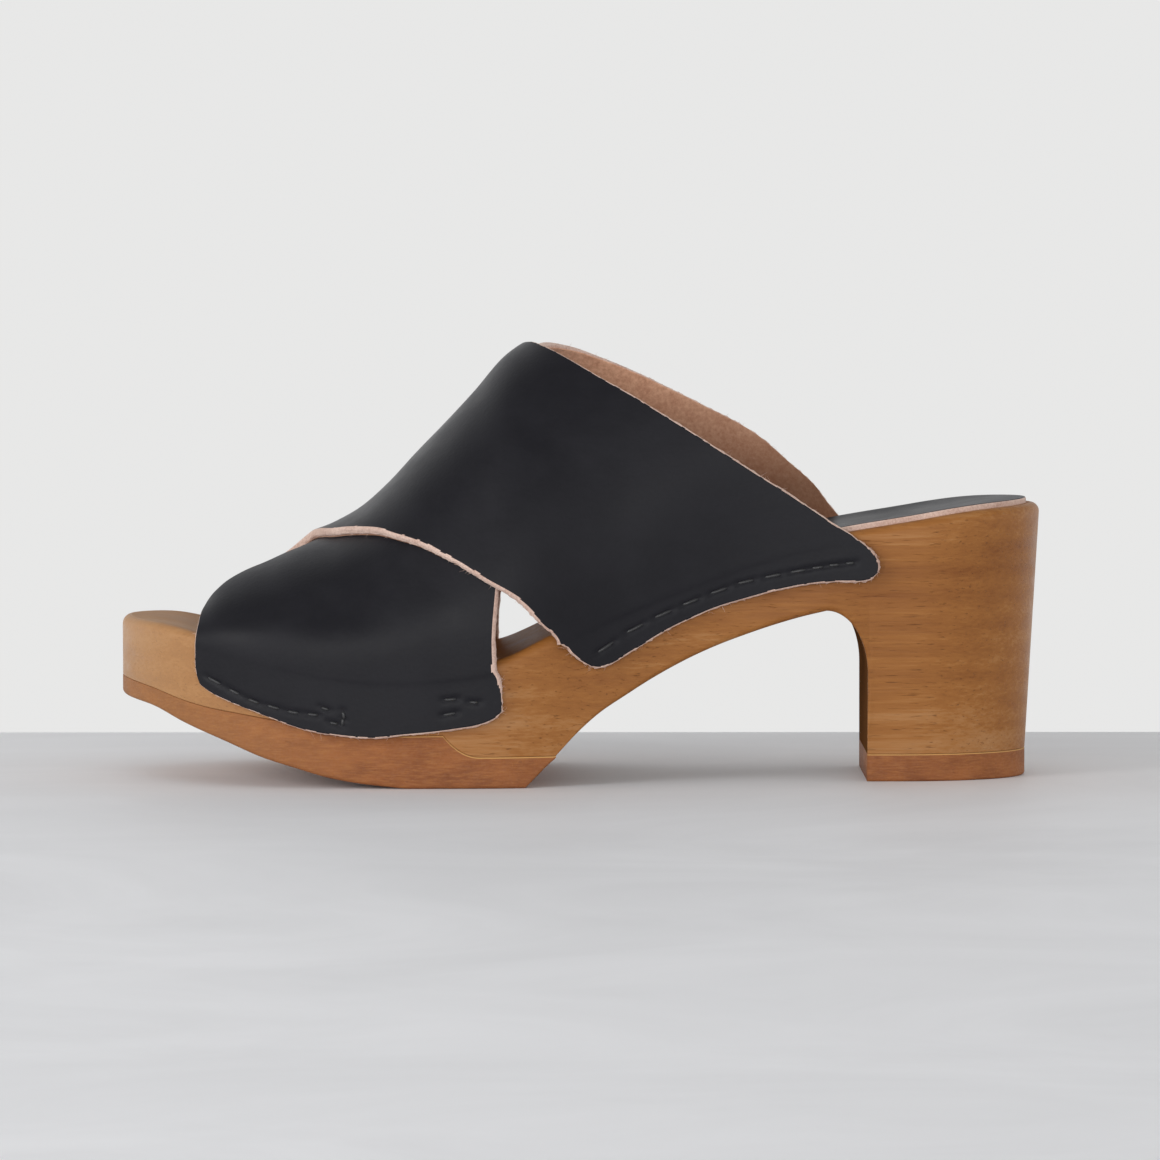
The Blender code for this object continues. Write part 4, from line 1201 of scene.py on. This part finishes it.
for strapName, mirrored, seed in (("topStrap", False, 3), ("underStrap", True, 4)):
    low, high, outward = makeStrap(strapName, mirrored)
    makeStitches(strapName + "Stitches", mirrored)
    makeFibres(strapName + "Fibres", low, high, outward, seed)
print("straps made")


# Floor, light and camera

studio = {
    "rearEdge": 0.133,  # the floor ends here and the plain background begins
    "floorReach": (3, 4),  # to both sides, and towards the front
    "floor": (0.90, 0.905, 0.930), "floorShade": 0.93, "floorCloud": ((7, 7, 7), 6.0, 0.6, 1.2),
    "floorTones": (0.35, 0.65), "background": (0.805, 0.805, 0.80),
    "fill": (1.66, 0.37),  # strength of the surroundings' light at the horizon and overhead
    "fillHeight": 0.7,
}

# place, aim, size and watts
lights = {
    "overhead": ((-0.35, -0.15, 1.20), (-0.1, 0, 0.04), (1.2, 0.9), 1.35),
    "rear": ((-0.70, 0.75, 0.90), (-0.1, 0, 0.05), (0.8, 0.5), 0.2),
    "window": ((-0.30, -2.20, 0.36), (-0.1, 0, 0.05), (1.8, 0.35), 12.5),
    "side": ((-1.25, -0.95, 0.60), (-0.1, 0, 0.05), (0.6, 0.6), 6.5),
}


def makeFloor():
    wide, near = studio["floorReach"]
    rear = studio["rearEdge"]
    corners = [(-wide, -near, 0), (wide, -near, 0), (wide, rear, 0), (-wide, rear, 0)]
    mesh = bpy.data.meshes.new("floor")
    mesh.from_pydata(corners, [], [(0, 1, 2, 3)])
    material, tree, shader = newMaterial("floorBoard", Roughness=0.6, Specular_IOR_Level=0.3)
    share = spread(tree, noise(tree, *studio["floorCloud"]), *studio["floorTones"])
    shade = tuple(studio["floorShade"] * value for value in studio["floor"])
    feed(tree, shader.inputs["Base Color"], blend(tree, share, shade, studio["floor"]))
    mesh.materials.append(material)
    floor = bpy.data.objects.new("floor", mesh)
    bpy.context.scene.collection.objects.link(floor)


def aimedObject(name, data, place, aim):
    # puts an object's -Z on the line from its place to its aim, and keeps its X level
    made = bpy.data.objects.new(name, data)
    bpy.context.scene.collection.objects.link(made)
    made.location = place
    toward = np.subtract(aim, place)
    tilt = np.arccos(-toward[2] / np.linalg.norm(toward))
    made.rotation_euler = (tilt, 0, np.arctan2(-toward[0], toward[1]))
    return made


def softLight(name, place, aim, size, watts):
    data = bpy.data.lights.new(name, "AREA")
    data.shape = "RECTANGLE"
    data.size, data.size_y = size
    data.energy = watts
    return aimedObject(name, data, place, aim)


def makeStudio():
    # the surroundings light the shoe by their height, and the camera sees them plain
    world = bpy.data.worlds.new("studio")
    bpy.context.scene.world = world
    world.use_nodes = True
    tree = world.node_tree
    fill = tree.nodes["Background"]
    feed(tree, fill.inputs[0], studio["background"])
    way = addNode(tree, "ShaderNodeTexCoord").outputs["Generated"]
    height = addNode(tree, "ShaderNodeSeparateXYZ", {"Vector": way}).outputs[2]
    feed(tree, fill.inputs[1], spread(tree, height, 0.0, studio["fillHeight"], studio["fill"]))
    plain = {"Color": studio["background"], "Strength": 1.0}
    seen = addNode(tree, "ShaderNodeBackground", plain).outputs[0]
    isSeen = addNode(tree, "ShaderNodeLightPath").outputs["Is Camera Ray"]
    mix = addNode(tree, "ShaderNodeMixShader", {0: isSeen, 1: fill.outputs[0], 2: seen})
    feed(tree, tree.nodes["World Output"].inputs[0], mix.outputs[0])
    for name, values in lights.items():
        softLight(name, *values)
    bpy.data.objects["overhead"].visible_glossy = False
    bpy.context.scene.view_settings.view_transform = "Standard"


camera = {
    "place": (-0.1072, -1.8931, 0.1698),
    "aim": (-0.0975, 0.0, 0.052),
    "lens": 220,
    "sensor": 36,
    "clip": (0.05, 20),
}


def makeCamera():
    data = bpy.data.cameras.new("camera")
    data.lens = camera["lens"]
    data.sensor_width = camera["sensor"]
    data.clip_start, data.clip_end = camera["clip"]
    eye = aimedObject("camera", data, camera["place"], camera["aim"])
    bpy.context.scene.camera = eye


makeFloor()
makeStudio()
makeCamera()
print("studio made")

bpy.context.view_layer.update()
